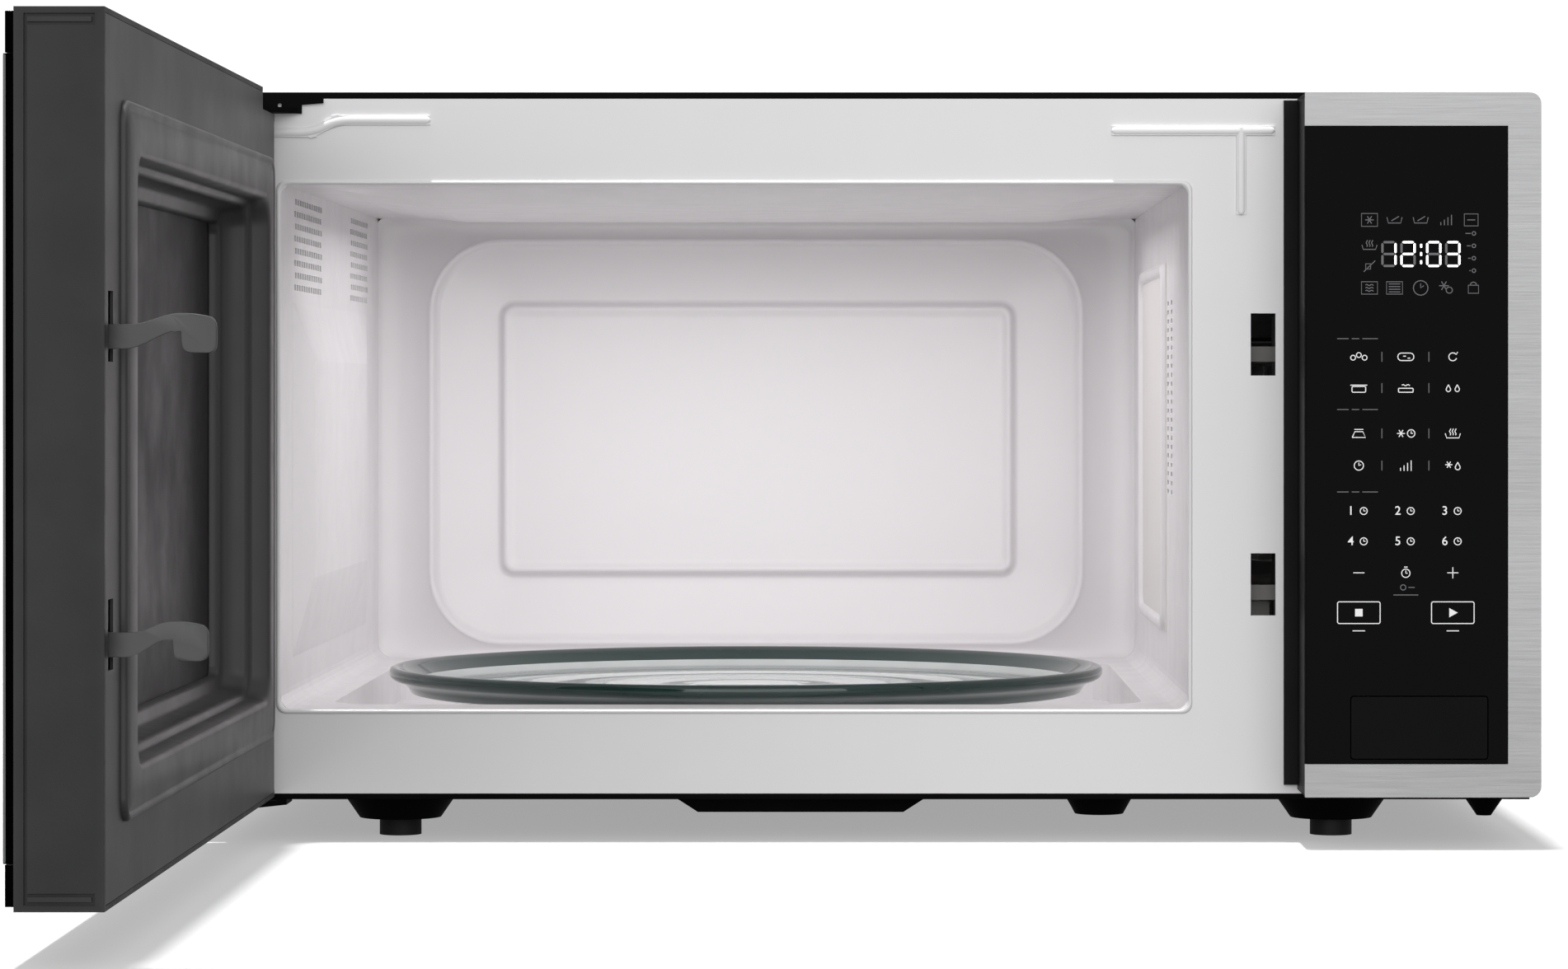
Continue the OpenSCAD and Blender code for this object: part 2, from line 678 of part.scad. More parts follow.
module interlock_switch(y, z) {
    x = hook_x + slot_w / 2 + 5;
    color("#2a2a2c") union() {
        block([x, x + 10], [y, y + 20], [z, z + 16]);
        rod_y(x + 5, [y - 2, y + cut], z + 8, 1.5);
        for (i = [0:1]) block([x + 4, x + 6], [y + 20 - cut, y + 26], [z + 3 + i * 8, z + 5 + i * 8]);
    }
}

module interlock_switch_1() interlock_switch(plate_y + 16, hook_levels[1] - 4);
module interlock_switch_2() interlock_switch(plate_y + 16, hook_levels[1] - 32);
module interlock_switch_3() interlock_switch(plate_y + 16, hook_levels[0] + 14);

// ---- Machine compartment ----

module waveguide() {
    wall = 1;
    x = [cav_x1 + liner_t, cav_x1 + liner_t + 38];
    y = [guide_y + 28, guide_y + 122];
    z = [guide_z - 2, guide_z + 77];
    color("#a9abad") difference() {
        block(x, y, z);
        block([x[0] - cut, x[1] - wall], [y[0] + wall, y[1] - wall], [z[0] + wall, z[1] - wall]);
    }
}

magnetron_x = cav_x1 + liner_t + 38;

module magnetron() {
    x = [magnetron_x, magnetron_x + 84];
    y = [guide_y + 32, guide_y + 112];
    z = [guide_z, guide_z + 72];
    wall = 2;
    color("#9b9da0") union() {
        difference() {
            block(x, y, z);
            block([x[0] + wall, x[1] - 34], [y[0] - cut, y[1] + cut], [z[0] + wall, z[1] - wall]);
        }
        rod_x([x[0] + wall - 0.5, x[1] - 33], (y[0] + y[1]) / 2, (z[0] + z[1]) / 2, 19);
    }
}

module magnetron_fins() {
    x0 = magnetron_x + 6;
    y = [guide_y + 36, guide_y + 108];
    z = [guide_z + 4, guide_z + 68];
    color("#c2c4c6") difference() {
        for (i = [0:4]) block([x0 + i * 8, x0 + i * 8 + 1], y, z);
        rod_x([x0 - cut, x0 + 34], (y[0] + y[1]) / 2, (z[0] + z[1]) / 2, 19 + fit);
    }
}

core_x = [bay_x0 + 22, bay_x0 + 118];
core_y = [plate_y + 70, plate_y + 166];
core_z = [base_z + case_t, base_z + case_t + 78];

module transformer_core() {
    limb = 16;
    mid = 31;
    cx = (core_x[0] + core_x[1]) / 2;
    color("#55565a") difference() {
        block(core_x, [core_y[0] + 22, core_y[1] - 22], core_z);
        for (x = [[core_x[0] + limb, cx - mid / 2], [cx + mid / 2, core_x[1] - limb]])
            block(x, [core_y[0], core_y[1]], [core_z[0] + limb, core_z[1] - limb]);
    }
}

module transformer_windings() {
    cx = (core_x[0] + core_x[1]) / 2;
    limb = 16.4;
    mid = 31.8;
    color("#a05a2c") difference() {
        flat([core_x[0] + limb, core_x[1] - limb], core_y, [core_z[0] + limb, core_z[1] - limb], 14);
        block([cx - mid / 2, cx + mid / 2], [core_y[0] + 21.8, core_y[1] - 21.8], [core_z[0], core_z[1]]);
    }
}

module hv_capacitor() {
    x = [bay_x0 + 8, bay_x0 + 42];
    y = [plate_y + 190, plate_y + 290];
    color("#b7b9bb") union() {
        flat(x, y, [base_z + case_t, base_z + 56], 16);
        for (s = [-1, 1]) rod_z((x[0] + x[1]) / 2, (y[0] + y[1]) / 2 + s * 18, [base_z + 55, base_z + 64], 4);
    }
}

module hv_diode() {
    color("#1b1b1b") union() {
        rod_y(bay_x0 + 60, [plate_y + 200, plate_y + 226], base_z + 12, 3.5);
        rod_y(bay_x0 + 60, [plate_y + 190, plate_y + 240], base_z + 12, 0.8);
    }
}

module fan_shroud() {
    x = [fan_cx - 62, fan_cx + 62];
    y = [fan_cy - 14, fan_cy + 14];
    color("#d9dadb") difference() {
        block(x, y, [fan_z - 62, fan_z + 62]);
        rod_y(fan_cx, [y[0] - cut, y[1] + cut], fan_z, fan_r + 3);
    }
}

module fan_motor() {
    y = [fan_cy + 14, fan_cy + 36];
    color("#6a6c70") difference() {
        union() {
            rod_y(fan_cx, y, fan_z, 20);
            for (a = [0:2]) translate([fan_cx, y[0], fan_z]) rotate([0, a * 120 + 90, 0])
                translate([0, 0, -3]) cube([fan_r + 8, 3, 6]);
        }
        rod_y(fan_cx, [y[0] - cut, y[0] + 12], fan_z, 2 + run_fit);
    }
}

module fan_rotor() {
    color("#232325") union() {
        rod_y(fan_cx, [fan_cy - 12, fan_cy + 12], fan_z, 14);
        rod_y(fan_cx, [fan_cy + 11, fan_cy + 24], fan_z, 2);
        for (i = [0:5]) translate([fan_cx, fan_cy, fan_z]) rotate([0, i * 60, 0])
            translate([12, -1, 0]) rotate([35, 0, 0]) translate([0, 0, -13]) cube([fan_r - 12, 2, 26]);
    }
}

module air_guide() {
    top = fan_z + 62 + 2;
    y = [guide_y + 130, fan_cy - 14];
    color("#dcdcd8") union() {
        block([bay_x0 + 8, bay_x0 + 128], y, [top, top + 2]);
        block([bay_x0 + 126, bay_x0 + 128], y, [top - 60, top + cut]);
    }
}

module oven_lamp() {
    x = bay_x0 + 14;
    color("#f4efe0") union() {
        rod_x([x, x + 18], lamp_y + 22, lamp_z + 40, 10);
        rod_x([x + 18 - cut, bay_x0 + 46], lamp_y + 22, lamp_z + 40, 7);
    }
}

module lamp_holder() {
    y = lamp_y + 22;
    z = lamp_z + 40;
    color("#e7e5df") difference() {
        block([bay_x0 + 36, bay_x0 + 58], [y - 13, y + 13], [z - 13, z + 13]);
        rod_x([bay_x0 + 35, bay_x0 + 46], y, z, 7);
    }
}

module thermal_cutout() {
    x = cav_x1 - 60;
    y = plate_y + cavity_d - 50;
    z = cav_z1 + liner_t;
    color("#2d2d2e") union() {
        rod_z(x, y, [z, z + 9], 8);
        for (s = [-1, 1]) block([x + s * 5 - 2, x + s * 5 + 2], [y - 0.5, y + 0.5], [z + 8, z + 14]);
    }
}

module filter_board() {
    x = [bay_x0 + 14, bay_x0 + 104];
    y = [plate_y + 190, plate_y + 250];
    z = top_z - 30;
    color("#7a5b33") union() {
        block(x, y, [z, z + 1.6]);
        block([x[0] + 8, x[0] + 34], [y[0] + 8, y[0] + 42], [z + 1, z + 18]);
        rod_z(x[0] + 60, y[0] + 26, [z + 1, z + 16], 13);
    }
}

// ---- Turntable ----

module turntable_motor() {
    color("#b9bbbd") difference() {
        union() {
            rod_z(cav_cx, tray_cy, [base_z + case_t, well_z - liner_t - 1.5], 24);
            for (s = [-1, 1]) block([cav_cx + s * 26 - 7, cav_cx + s * 26 + 7], [tray_cy - 5, tray_cy + 5],
                [well_z - liner_t - 3.5, well_z - liner_t - 1.5]);
        }
        rod_z(cav_cx, tray_cy, [base_z + 6, well_z], shaft_r + run_fit);
    }
}

module drive_coupler() {
    hub = [well_z + 3, tray_z - touch_gap];
    color("#ece9e2") translate([cav_cx, tray_cy, 0]) union() {
        rod_z(0, 0, [base_z + 8, hub[0] + cut], shaft_r);
        rod_z(0, 0, hub, coupler_r / 2 + 3);
        rod_z(0, 0, [hub[0], hub[0] + 3], coupler_r);
        for (a = [0:2]) rotate(a * 120)
            block([coupler_r / 2, coupler_r + 8], [-6, 6], [hub[0] + cut, hub[1] - cut]);
    }
}

module glass_tray() {
    z = tray_z;
    top = tray_z + tray_h;
    color("#a9bcb6") translate([cav_cx, tray_cy, 0]) union() {
        rotate_extrude($fn = 96) polygon([
            [0, z], [tray_foot_r - 4, z], [tray_foot_r, z + 3], [tray_foot_r + 1, z + 6.6],
            [tray_r - 4, z + 7.6], [tray_r, z + 9.4], [tray_r, top - 1.5], [tray_r - 1.5, top],
            [tray_r - 6, top], [tray_r - 8.6, top - 1], [tray_foot_r - 8, z + tray_t + 1.2],
            [tray_foot_r - 16, z + tray_t], [0, z + tray_t]]);
        for (a = [0:2]) rotate(a * 120 + 60) translate([coupler_r + 4, 0, z - 4]) cylinder(h = 4.5, r = 3, $fn = 32);
    }
}

module roller_ring() {
    color("#e4e4e2") translate([cav_cx, tray_cy, 0]) union() {
        difference() {
            rod_z(0, 0, [axle_z - 3, axle_z + 3], ring_r);
            rod_z(0, 0, [axle_z - 3 - cut, axle_z + 3 + cut], ring_r - 8);
        }
        for (a = [0:2]) rotate(a * 120) {
            rod_x([ring_r - 2, track_r + wheel_w / 2 + 1.5], 0, axle_z, axle_r);
            rod_x([track_r + wheel_w / 2 + 0.5, track_r + wheel_w / 2 + 2], 0, axle_z, axle_r + 1.2);
        }
    }
}

module roller_wheel(i) {
    color("#dad8d2") translate([cav_cx, tray_cy, 0]) rotate(i * 120) difference() {
        rod_x([track_r - wheel_w / 2, track_r + wheel_w / 2], 0, axle_z, wheel_r);
        rod_x([track_r - wheel_w / 2 - cut, track_r + wheel_w / 2 + cut], 0, axle_z, axle_r + run_fit);
    }
}

module roller_wheel_1() roller_wheel(0);
module roller_wheel_2() roller_wheel(1);
module roller_wheel_3() roller_wheel(2);

// ---- Door ----

// The door's outline seen from above, with its hinge corners rounded
function door_plan(x, y, r) = concat(
    [[x[1], y[0]], [x[1], y[1]]], arc(x[0] + r, y[1] - r, r, 90, 180), arc(x[0] + 2, y[0] + 2, 2, 180, 270));

module door_body(x, y, z, r) {
    translate([0, 0, z[0]]) linear_extrude(z[1] - z[0]) polygon(door_plan(x, y, r));
}

frame_hole_x = [window_x0 - choke_wall - move_gap, window_x1 + choke_wall + move_gap];
frame_hole_z = [window_z0 - choke_wall - move_gap, window_z1 + choke_wall + move_gap];
notch_x = [door_x0 - cut, hinge_x + 34];
notch_y = [hinge_y - 7.5, door_back_y + cut];
notch_z = [arm_z - 1.2, door_z1 + cut];

// Parting line round the cap of the door's free end, with a tab at each end
module end_groove() {
    x = [door_x1 - 1, door_x1 + cut];
    wide = 1.2;
    y = [shell_y + 3.6, door_back_y - 3.4];
    tab_h = 3;
    block(x, [y[0], y[0] + wide], [door_z0 + 3, door_z1 - 3]);
    for (z = [door_z0 + 2.4, door_z1 - 2.4 - wide]) block(x, [y[0], y[1]], [z, z + wide]);
    for (z = [door_z0 + 2.4 + tab_h, door_z1 - 2.4 - wide - tab_h]) block(x, [y[0], y[1]], [z, z + wide]);
    for (z = [door_z0 + 2.4, door_z1 - 2.4 - wide - tab_h])
        block(x, [y[1] - wide, y[1]], [z, z + tab_h + wide]);
}

module door_frame() {
    w = door_wall;
    skin_y = shell_y + w;
    inner_x = [door_x0 + w, door_x1 - w];
    inner_z = [door_z0 + w, door_z1 - w];
    back = [skin_y, door_back_y + cut];
    color("#383838") door_swing() difference() {
        union() {
            difference() {
                door_body([door_x0, door_x1], [shell_y, door_back_y], [door_z0, door_z1], hinge_round);
                difference() {
                    block(inner_x, back, inner_z);
                    upright([frame_hole_x[0] - w, frame_hole_x[1] + w], [back[0] - cut, back[1] + cut],
                        [frame_hole_z[0] - w, frame_hole_z[1] + w], window_r + 2 * w);
                    // hinge blocks, which the pins turn in
                    rod_z(hinge_x, hinge_y, [door_z0, door_z0 + pin_len + 6], pin_boss_r);
                    rod_z(hinge_x, hinge_y, [arm_z - pin_len - 6, notch_z[0]], pin_boss_r);
                    block([door_x0, notch_x[1] + w], [back[0] - cut, door_back_y], [notch_z[0] - w, notch_z[0] + cut]);
                    block([notch_x[1], notch_x[1] + w], [back[0] - cut, door_back_y], [notch_z[0] - w, door_z1]);
                    block([door_x0, notch_x[1] + w], [back[0] - cut, notch_y[0]], [notch_z[0] - w, door_z1]);
                    // guides on both sides of the latch slide
                    for (x = [hook_x - hook_t / 2 - move_gap - 3, hook_x + hook_t / 2 + move_gap])
                        block([x, x + 3], [back[0] - cut, bar_y1 - 1], [hook_levels[0] + 20, hook_levels[1] - 10]);
                }
            }
        }
        upright(frame_hole_x, [shell_y - cut, door_back_y + 2 * cut], frame_hole_z, window_r + w);
        block(notch_x, notch_y, notch_z);
        rod_z(hinge_x, hinge_y, [door_z0 - cut, door_z0 + pin_len + 2], pin_r + run_fit);
        rod_z(hinge_x, hinge_y, [arm_z - pin_len - 2, arm_z + cut], pin_r + run_fit);
        end_groove();
        // seat for the inner steel panel
        block([door_x0 + hinge_round + 1, door_x1 - 2], [door_back_y - door_panel_t, door_back_y + cut], [door_z0 + 2, door_z1 - 2]);
    }
}

module door_fascia() {
    color("#b4b5b7") door_swing() difference() {
        upright([door_x0, door_x1], [steel_y, shell_y], [fascia_z0, fascia_z1], 0.4, 5);
        block([door_x0 + strip_w, door_x1 + cut], [steel_y - cut, shell_y + cut],
            [fascia_z0 + strip_w, fascia_z1 - strip_w]);
    }
}

module door_glass() {
    color("#1a1a1b") door_swing() upright([door_x0 + strip_w + strip_gap, door_x1 - 0.7], [front_y, shell_y],
        [fascia_z0 + strip_w + strip_gap, fascia_z1 - strip_w - strip_gap], 0.8);
}

module door_screen() {
    y = door_back_y - pane_d - 3;
    color("#3a3a3c") door_swing() upright([frame_hole_x[0] + fit, frame_hole_x[1] - fit], [y - screen_t, y],
        [frame_hole_z[0] + fit, frame_hole_z[1] - fit], window_r + door_wall);
}

module inner_window() {
    y = door_back_y - pane_d;
    color("#4d4a4d") door_swing() upright([frame_hole_x[0] + fit, frame_hole_x[1] - fit], [y - pane_t, y],
        [frame_hole_z[0] + fit, frame_hole_z[1] - fit], window_r + door_wall);
}

module door_panel() {
    y = [door_back_y - door_panel_t, door_back_y];
    through = [y[0] - cut, y[1] + cut];
    color("#5f5f60") door_swing() difference() {
        block([door_x0 + hinge_round + 1 + fit, door_x1 - 2 - fit], y, [door_z0 + 2 + fit, door_z1 - 2 - fit]);
        upright(frame_hole_x, through, frame_hole_z, window_r + door_wall);
        for (z = hook_levels)
            block([hook_x - slot_w / 2, hook_x + slot_w / 2], through, [z - 4.6, z + 20.8]);
        block([door_x0, notch_x[1]], through, [notch_z[0], door_z1]);
    }
}

module choke_cover() {
    lip = [door_back_y, door_back_y + choke_proud];
    color("#636063") door_swing() difference() {
        union() {
            upright([choke_x0, choke_x1], lip, [choke_z0, choke_z1], 9);
            upright([window_x0 - choke_wall, window_x1 + choke_wall], [door_back_y - recess_d, lip[1]],
                [window_z0 - choke_wall, window_z1 + choke_wall], window_r + choke_wall);
        }
        upright([window_x0, window_x1], [door_back_y - recess_d - cut, lip[1] + cut], [window_z0, window_z1], window_r);
    }
}

module latch_hooks() {
    low = hook_levels[0];
    high = hook_levels[1];
    x = [hook_x - hook_t / 2, hook_x + hook_t / 2];
    color("#3a3a3a") door_swing() union() {
        block(x, [bar_y0, bar_y1], [low - 4, high + 14]);
        for (i = [0, 1]) let (z = hook_levels[i], tip = door_back_y + hook_reaches[i])
            side_outline(x, [
                [bar_y1 - cut, z], [door_back_y + 8, z], [tip - hook_lip_len - 5, z + hook_rise],
                [tip - hook_lip_len, z + hook_rise], [tip - hook_lip_len, z + hook_rise - hook_lip + 3],
                [tip - hook_lip_len + 3, z + hook_rise - hook_lip], [tip - 3, z + hook_rise - hook_lip],
                [tip, z + hook_rise - hook_lip + 3], [tip, z + hook_h + 1], [tip - 3.5, z + hook_h + 3],
                [tip - 10, z + hook_h + 4], [tip - hook_lip_len - 4, z + hook_h + 4],
                [door_back_y + 12, z + hook_h + 1], [bar_y1 - cut, z + hook_h]]);
    }
}

outer_case();
base_plate();
back_panel();
front_plate();
cavity_wrapper();
cavity_ceiling();
cavity_back();
waveguide_cover();
foot_front_left();
foot_front_right();
foot_rear_left();
foot_rear_right();
upper_hinge_bracket();
lower_hinge_bracket();
case_screws();
cord_gland();
control_housing();
control_fascia();
control_glass();
display_module();
touch_sensor();
control_board();
latch_board();
interlock_switch_1();
interlock_switch_2();
interlock_switch_3();
waveguide();
magnetron();
magnetron_fins();
transformer_core();
transformer_windings();
hv_capacitor();
hv_diode();
fan_shroud();
fan_motor();
air_guide();
oven_lamp();
lamp_holder();
thermal_cutout();
filter_board();
turntable_motor();
fan_rotor();
release_button();
release_lever();
drive_coupler();
glass_tray();
roller_ring();
roller_wheel_1();
roller_wheel_2();
roller_wheel_3();
door_frame();
door_fascia();
door_glass();
door_screen();
door_panel();
choke_cover();
inner_window();
latch_hooks();
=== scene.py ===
import math

import bmesh
import bpy
from mathutils import Matrix, Vector


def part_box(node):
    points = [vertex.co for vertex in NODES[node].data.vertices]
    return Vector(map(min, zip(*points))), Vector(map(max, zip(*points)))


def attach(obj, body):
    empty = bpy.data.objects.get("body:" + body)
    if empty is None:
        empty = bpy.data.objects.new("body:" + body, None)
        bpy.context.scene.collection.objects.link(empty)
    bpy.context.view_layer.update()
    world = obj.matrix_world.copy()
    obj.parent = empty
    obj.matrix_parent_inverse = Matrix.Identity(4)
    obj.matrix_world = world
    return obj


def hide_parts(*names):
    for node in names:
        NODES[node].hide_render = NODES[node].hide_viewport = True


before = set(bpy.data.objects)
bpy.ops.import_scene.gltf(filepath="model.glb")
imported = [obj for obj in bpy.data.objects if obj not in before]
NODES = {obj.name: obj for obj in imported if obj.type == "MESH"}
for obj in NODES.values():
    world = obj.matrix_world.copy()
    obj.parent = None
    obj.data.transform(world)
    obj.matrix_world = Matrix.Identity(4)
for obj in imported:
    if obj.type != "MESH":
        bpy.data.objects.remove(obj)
SCENE = bpy.context.scene
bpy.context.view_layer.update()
MM = 0.001


# ---- Main places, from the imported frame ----

def spans(node):
    """Lowest and highest x, y and z of a node, as three pairs."""
    lo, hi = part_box(node)
    return (lo.x, hi.x), (lo.y, hi.y), (lo.z, hi.z)


PLATE_X, PLATE_Y, PLATE_Z = spans("front_plate")
PLATE_FRONT = PLATE_Y[1] - 1.2 * MM
CAVITY_X = tuple(v + d for v, d in zip(spans("cavity_ceiling")[0], (1 * MM, -1 * MM)))
CAVITY_TOP = spans("cavity_back")[2][1] - 1 * MM
CAVITY_FLOOR = spans("cavity_back")[2][0] + 1 * MM
REAR_WALL = spans("cavity_back")[1][0]
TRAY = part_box("glass_tray")
TRAY_CENTRE = (TRAY[0] + TRAY[1]) / 2
GLASS_X, GLASS_Y, GLASS_Z = spans("control_glass")
GLASS_FRONT = GLASS_Y[0]
FRAME_X, _, FRAME_Z = spans("door_frame")
CHOKE_X, CHOKE_Y, CHOKE_Z = spans("choke_cover")
BUTTON_X = spans("release_button")[0]
PANEL_MID = (BUTTON_X[0] + BUTTON_X[1]) / 2


# ---- Shader helpers ----

class Tone:
    """A socket of a finish. Arithmetic on it adds Math nodes."""

    def __init__(self, finish, socket):
        self.finish = finish
        self.socket = socket

    def _math(self, operation, *values):
        return self.finish.node("ShaderNodeMath", {"operation": operation}, dict(enumerate(values)))

    def __add__(self, other):
        return self._math("ADD", self, other)

    def __mul__(self, other):
        return self._math("MULTIPLY", self, other)

    def __sub__(self, other):
        return self._math("SUBTRACT", self, other)

    def __rsub__(self, other):
        return self._math("SUBTRACT", other, self)

    def __pow__(self, other):
        return self._math("POWER", self, other)

    def __gt__(self, other):
        return self._math("GREATER_THAN", self, other)

    __radd__ = __add__
    __rmul__ = __mul__

    def clip(self):
        return self.finish.node("ShaderNodeClamp", {}, {"Value": self})


class Finish:
    """One material: a Principled shader, its fixed values and the nodes that vary them."""

    def __init__(self, name, **fixed):
        self.material = bpy.data.materials.new(name)
        self.material.use_nodes = True
        self.tree = self.material.node_tree
        self.shader = self.tree.nodes["Principled BSDF"]
        for key, value in fixed.items():
            self.feed(self.shader, key.replace("_", " "), value)

    def feed(self, node, key, value):
        socket = node.inputs[key]
        if isinstance(value, Tone):
            self.tree.links.new(value.socket, socket)
        elif isinstance(value, tuple) and len(value) == 3 and socket.type == "RGBA":
            socket.default_value = (*value, 1)
        else:
            socket.default_value = value

    def node(self, kind, settings, sockets, out=0):
        made = self.tree.nodes.new(kind)
        for key, value in settings.items():
            if key == "stops":
                while len(made.color_ramp.elements) < len(value):
                    made.color_ramp.elements.new(0.5)
                for element, (place, colour) in zip(made.color_ramp.elements, value):
                    element.position = place
                    element.color = (*colour, 1)
            else:
                setattr(made, key, value)
        for key, value in sockets.items():
            self.feed(made, key, value)
        return Tone(self, made.outputs[out])

    def vary(self, **sockets):
        for key, value in sockets.items():
            self.feed(self.shader, key.replace("_", " "), value)
        return self

    def place(self, scale=(1, 1, 1)):
        """Metres in the row frame, stretched by scale."""
        spot = self.node("ShaderNodeTexCoord", {}, {}, "Object")
        return self.node("ShaderNodeVectorMath", {"operation": "MULTIPLY"}, {0: spot, 1: Vector(scale)})

    def noise(self, size, detail=3.0, stretch=(1, 1, 1), rough=0.55):
        """Noise from 0 to 1 whose blobs are about size metres across."""
        return self.node("ShaderNodeTexNoise", {}, {
            "Vector": self.place(stretch), "Scale": 1 / size, "Detail": detail, "Roughness": rough})

    def blend(self, share, low, high):
        """A colour between low and high."""
        return self.node("ShaderNodeMix", {"data_type": "RGBA"}, {0: share, 6: low, 7: high}, 2)

    def spread(self, share, low, high):
        """A number between low and high."""
        return self.node("ShaderNodeMapRange", {}, {"Value": share, "From Min": 0.3, "From Max": 0.7,
            "To Min": low, "To Max": high})

    def edges(self):
        """1 on rounded corners, 0 on flats."""
        sharp = self.node("ShaderNodeNewGeometry", {}, {}, "Pointiness")
        return ((sharp - 0.5) * 8).clip()

    def bump(self, height, depth, strength=1.0):
        relief = self.node("ShaderNodeBump", {}, {"Height": height, "Distance": depth, "Strength": strength})
        return self.vary(Normal=relief)


# ---- Finishes ----

def enamel(name, colour, rough, mottle=0.03):
    """Fired enamel: even colour, faint mottling and a slight ripple in its gloss."""
    f = Finish(name, Metallic=0.0, IOR=1.5, Coat_Roughness=0.12, Coat_IOR=1.5)
    cloud = f.noise(0.05, 4)
    deep = tuple(c * (1 - mottle) for c in colour)
    f.vary(Base_Color=f.blend(cloud, deep, colour), Roughness=f.spread(cloud, rough * 0.9, rough * 1.15),
           Coat_Weight=f.spread(f.noise(0.02), 0.2, 0.3))
    return f.bump(f.noise(0.0016, 2) + f.noise(0.012, 1) * 2, 0.00004, 0.35)


def brushed(name, colour, rough, along="x", depth=0.00002):
    """Metal brushed along one axis."""
    f = Finish(name, Metallic=1.0)
    thin, wide = 1.0, 0.012
    stretch = {"x": (wide, thin, thin), "z": (thin, thin, wide), "y": (thin, wide, thin)}[along]
    grain = f.noise(0.00035, 3, stretch, 0.7)
    cloud = f.noise(0.04, 3, stretch)
    dark = tuple(c * 0.86 for c in colour)
    f.vary(Base_Color=f.blend(grain, dark, colour),
           Roughness=f.spread(grain, rough * 0.8, rough * 1.2) + f.spread(cloud, -0.02, 0.02))
    return f.bump(grain, depth, 0.6)


def moulded(name, colour, rough, grain=0.0012, depth=0.00006, level=0.5, edge_paling=0.6):
    """Moulded plastic with a fine spark-eroded grain; its rounded edges are paler."""
    f = Finish(name, Metallic=0.0, IOR=1.46, Specular_IOR_Level=level)
    cloud = f.noise(0.03, 3)
    speck = f.noise(grain, 2)
    pale_edge_colour = tuple(min(1, c * 1.35 + 0.01) for c in colour)
    body = f.blend(cloud, tuple(c * 0.88 for c in colour), colour)
    f.vary(Base_Color=f.blend(f.edges() * edge_paling, body, pale_edge_colour) if edge_paling else body,
           Roughness=f.spread(cloud, rough * 0.88, rough * 1.12))
    return f.bump(speck, depth, 0.5)


def painted(name, colour, rough, level=0.5):
    """Powder paint on sheet steel."""
    f = Finish(name, Metallic=0.0, IOR=1.5, Specular_IOR_Level=level)
    cloud = f.noise(0.06, 3)
    peel = f.noise(0.0018, 2)
    f.vary(Base_Color=f.blend(cloud, tuple(c * 0.85 for c in colour), colour),
           Roughness=f.spread(cloud, rough * 0.9, rough * 1.1))
    return f.bump(peel, 0.0001, 0.4)


def metal(name, colour, rough, stain=0.12):
    """Plain rolled, cast or plated metal with faint stains."""
    f = Finish(name, Metallic=1.0)
    cloud = f.noise(0.02, 5)
    f.vary(Base_Color=f.blend(cloud, tuple(c * (1 - stain) for c in colour), colour),
           Roughness=f.spread(cloud, rough * 0.8, rough * 1.25))
    return f.bump(f.noise(0.0008, 3), 0.00003, 0.4)


def smoked(name, colour, rough, level):
    """Dark glass printed on its back, with the faintest haze on its face."""
    f = Finish(name, Metallic=0.0, IOR=1.45, Specular_IOR_Level=level)
    haze = f.noise(0.05, 4)
    f.vary(Base_Color=f.blend(haze, tuple(c * 0.8 for c in colour), colour),
           Roughness=f.spread(haze, rough * 0.7, rough * 1.3))
    return f.bump(f.noise(0.03, 1), 0.00001, 0.2)


def pressed_glass(name, colour, body, coat, rough=0.05):
    """Greenish pressed glass, deep green along its edge; where it is thin, a pale, partly opaque body is a
    painted reflection of the bright cavity.
    """
    f = Finish(name, Metallic=0.0, IOR=1.5, Coat_Roughness=0.03, Coat_IOR=1.5)
    swirl = f.noise(0.03, 2)
    f.vary(Base_Color=f.blend(swirl, tuple(c * 0.94 for c in colour), colour),
           Roughness=f.spread(swirl, rough * 0.6, rough * 1.4),
           Coat_Weight=f.spread(swirl, coat * 0.8, coat * 1.2),
           Alpha=f.spread(swirl, body - 0.03, body + 0.03))
    return f.bump(f.noise(0.02, 1), 0.00006, 0.2)


def glowing(name, colour, strength):
    """Marks given a glow: for the lit clock digits this is their own light, for printed marks and unlit bars
    it is a painted glow.
    """
    f = Finish(name, Base_Color=colour, Roughness=0.6, Emission_Strength=strength, Specular_IOR_Level=0.1)
    f.vary(Emission_Color=f.blend(f.noise(0.003), tuple(c * 0.92 for c in colour), colour))
    return f


def perforated(name, colour, pitch, hole):
    """Window screen: a sheet of fine round holes, painted darker in the holes as painted shade for the dim
    space seen through them.
    """
    f = Finish(name, Metallic=0.6, Specular_IOR_Level=0.4)
    spot = f.place((1 / pitch, 1 / pitch, 1 / pitch))
    parts = f.tree.nodes.new("ShaderNodeSeparateXYZ")
    f.tree.links.new(spot.socket, parts.inputs[0])
    y, z = Tone(f, parts.outputs[1]), Tone(f, parts.outputs[2])
    y = y + (z._math("FLOOR", z)._math("MODULO", z._math("FLOOR", z), 2.0)) * 0.5
    dy, dz = y._math("FRACT", y) - 0.5, z._math("FRACT", z) - 0.5
    away = (dy * dy + dz * dz) ** 0.5
    web = away > hole
    # The holes get a quarter of the sheet's colour: painted shade, not a hole one can see into.
    f.vary(Base_Color=f.blend(web, tuple(c * 0.25 for c in colour), colour),
           Roughness=f.spread(f.noise(0.02), 0.35, 0.5))
    return f.bump(web, 0.0002, 0.5)


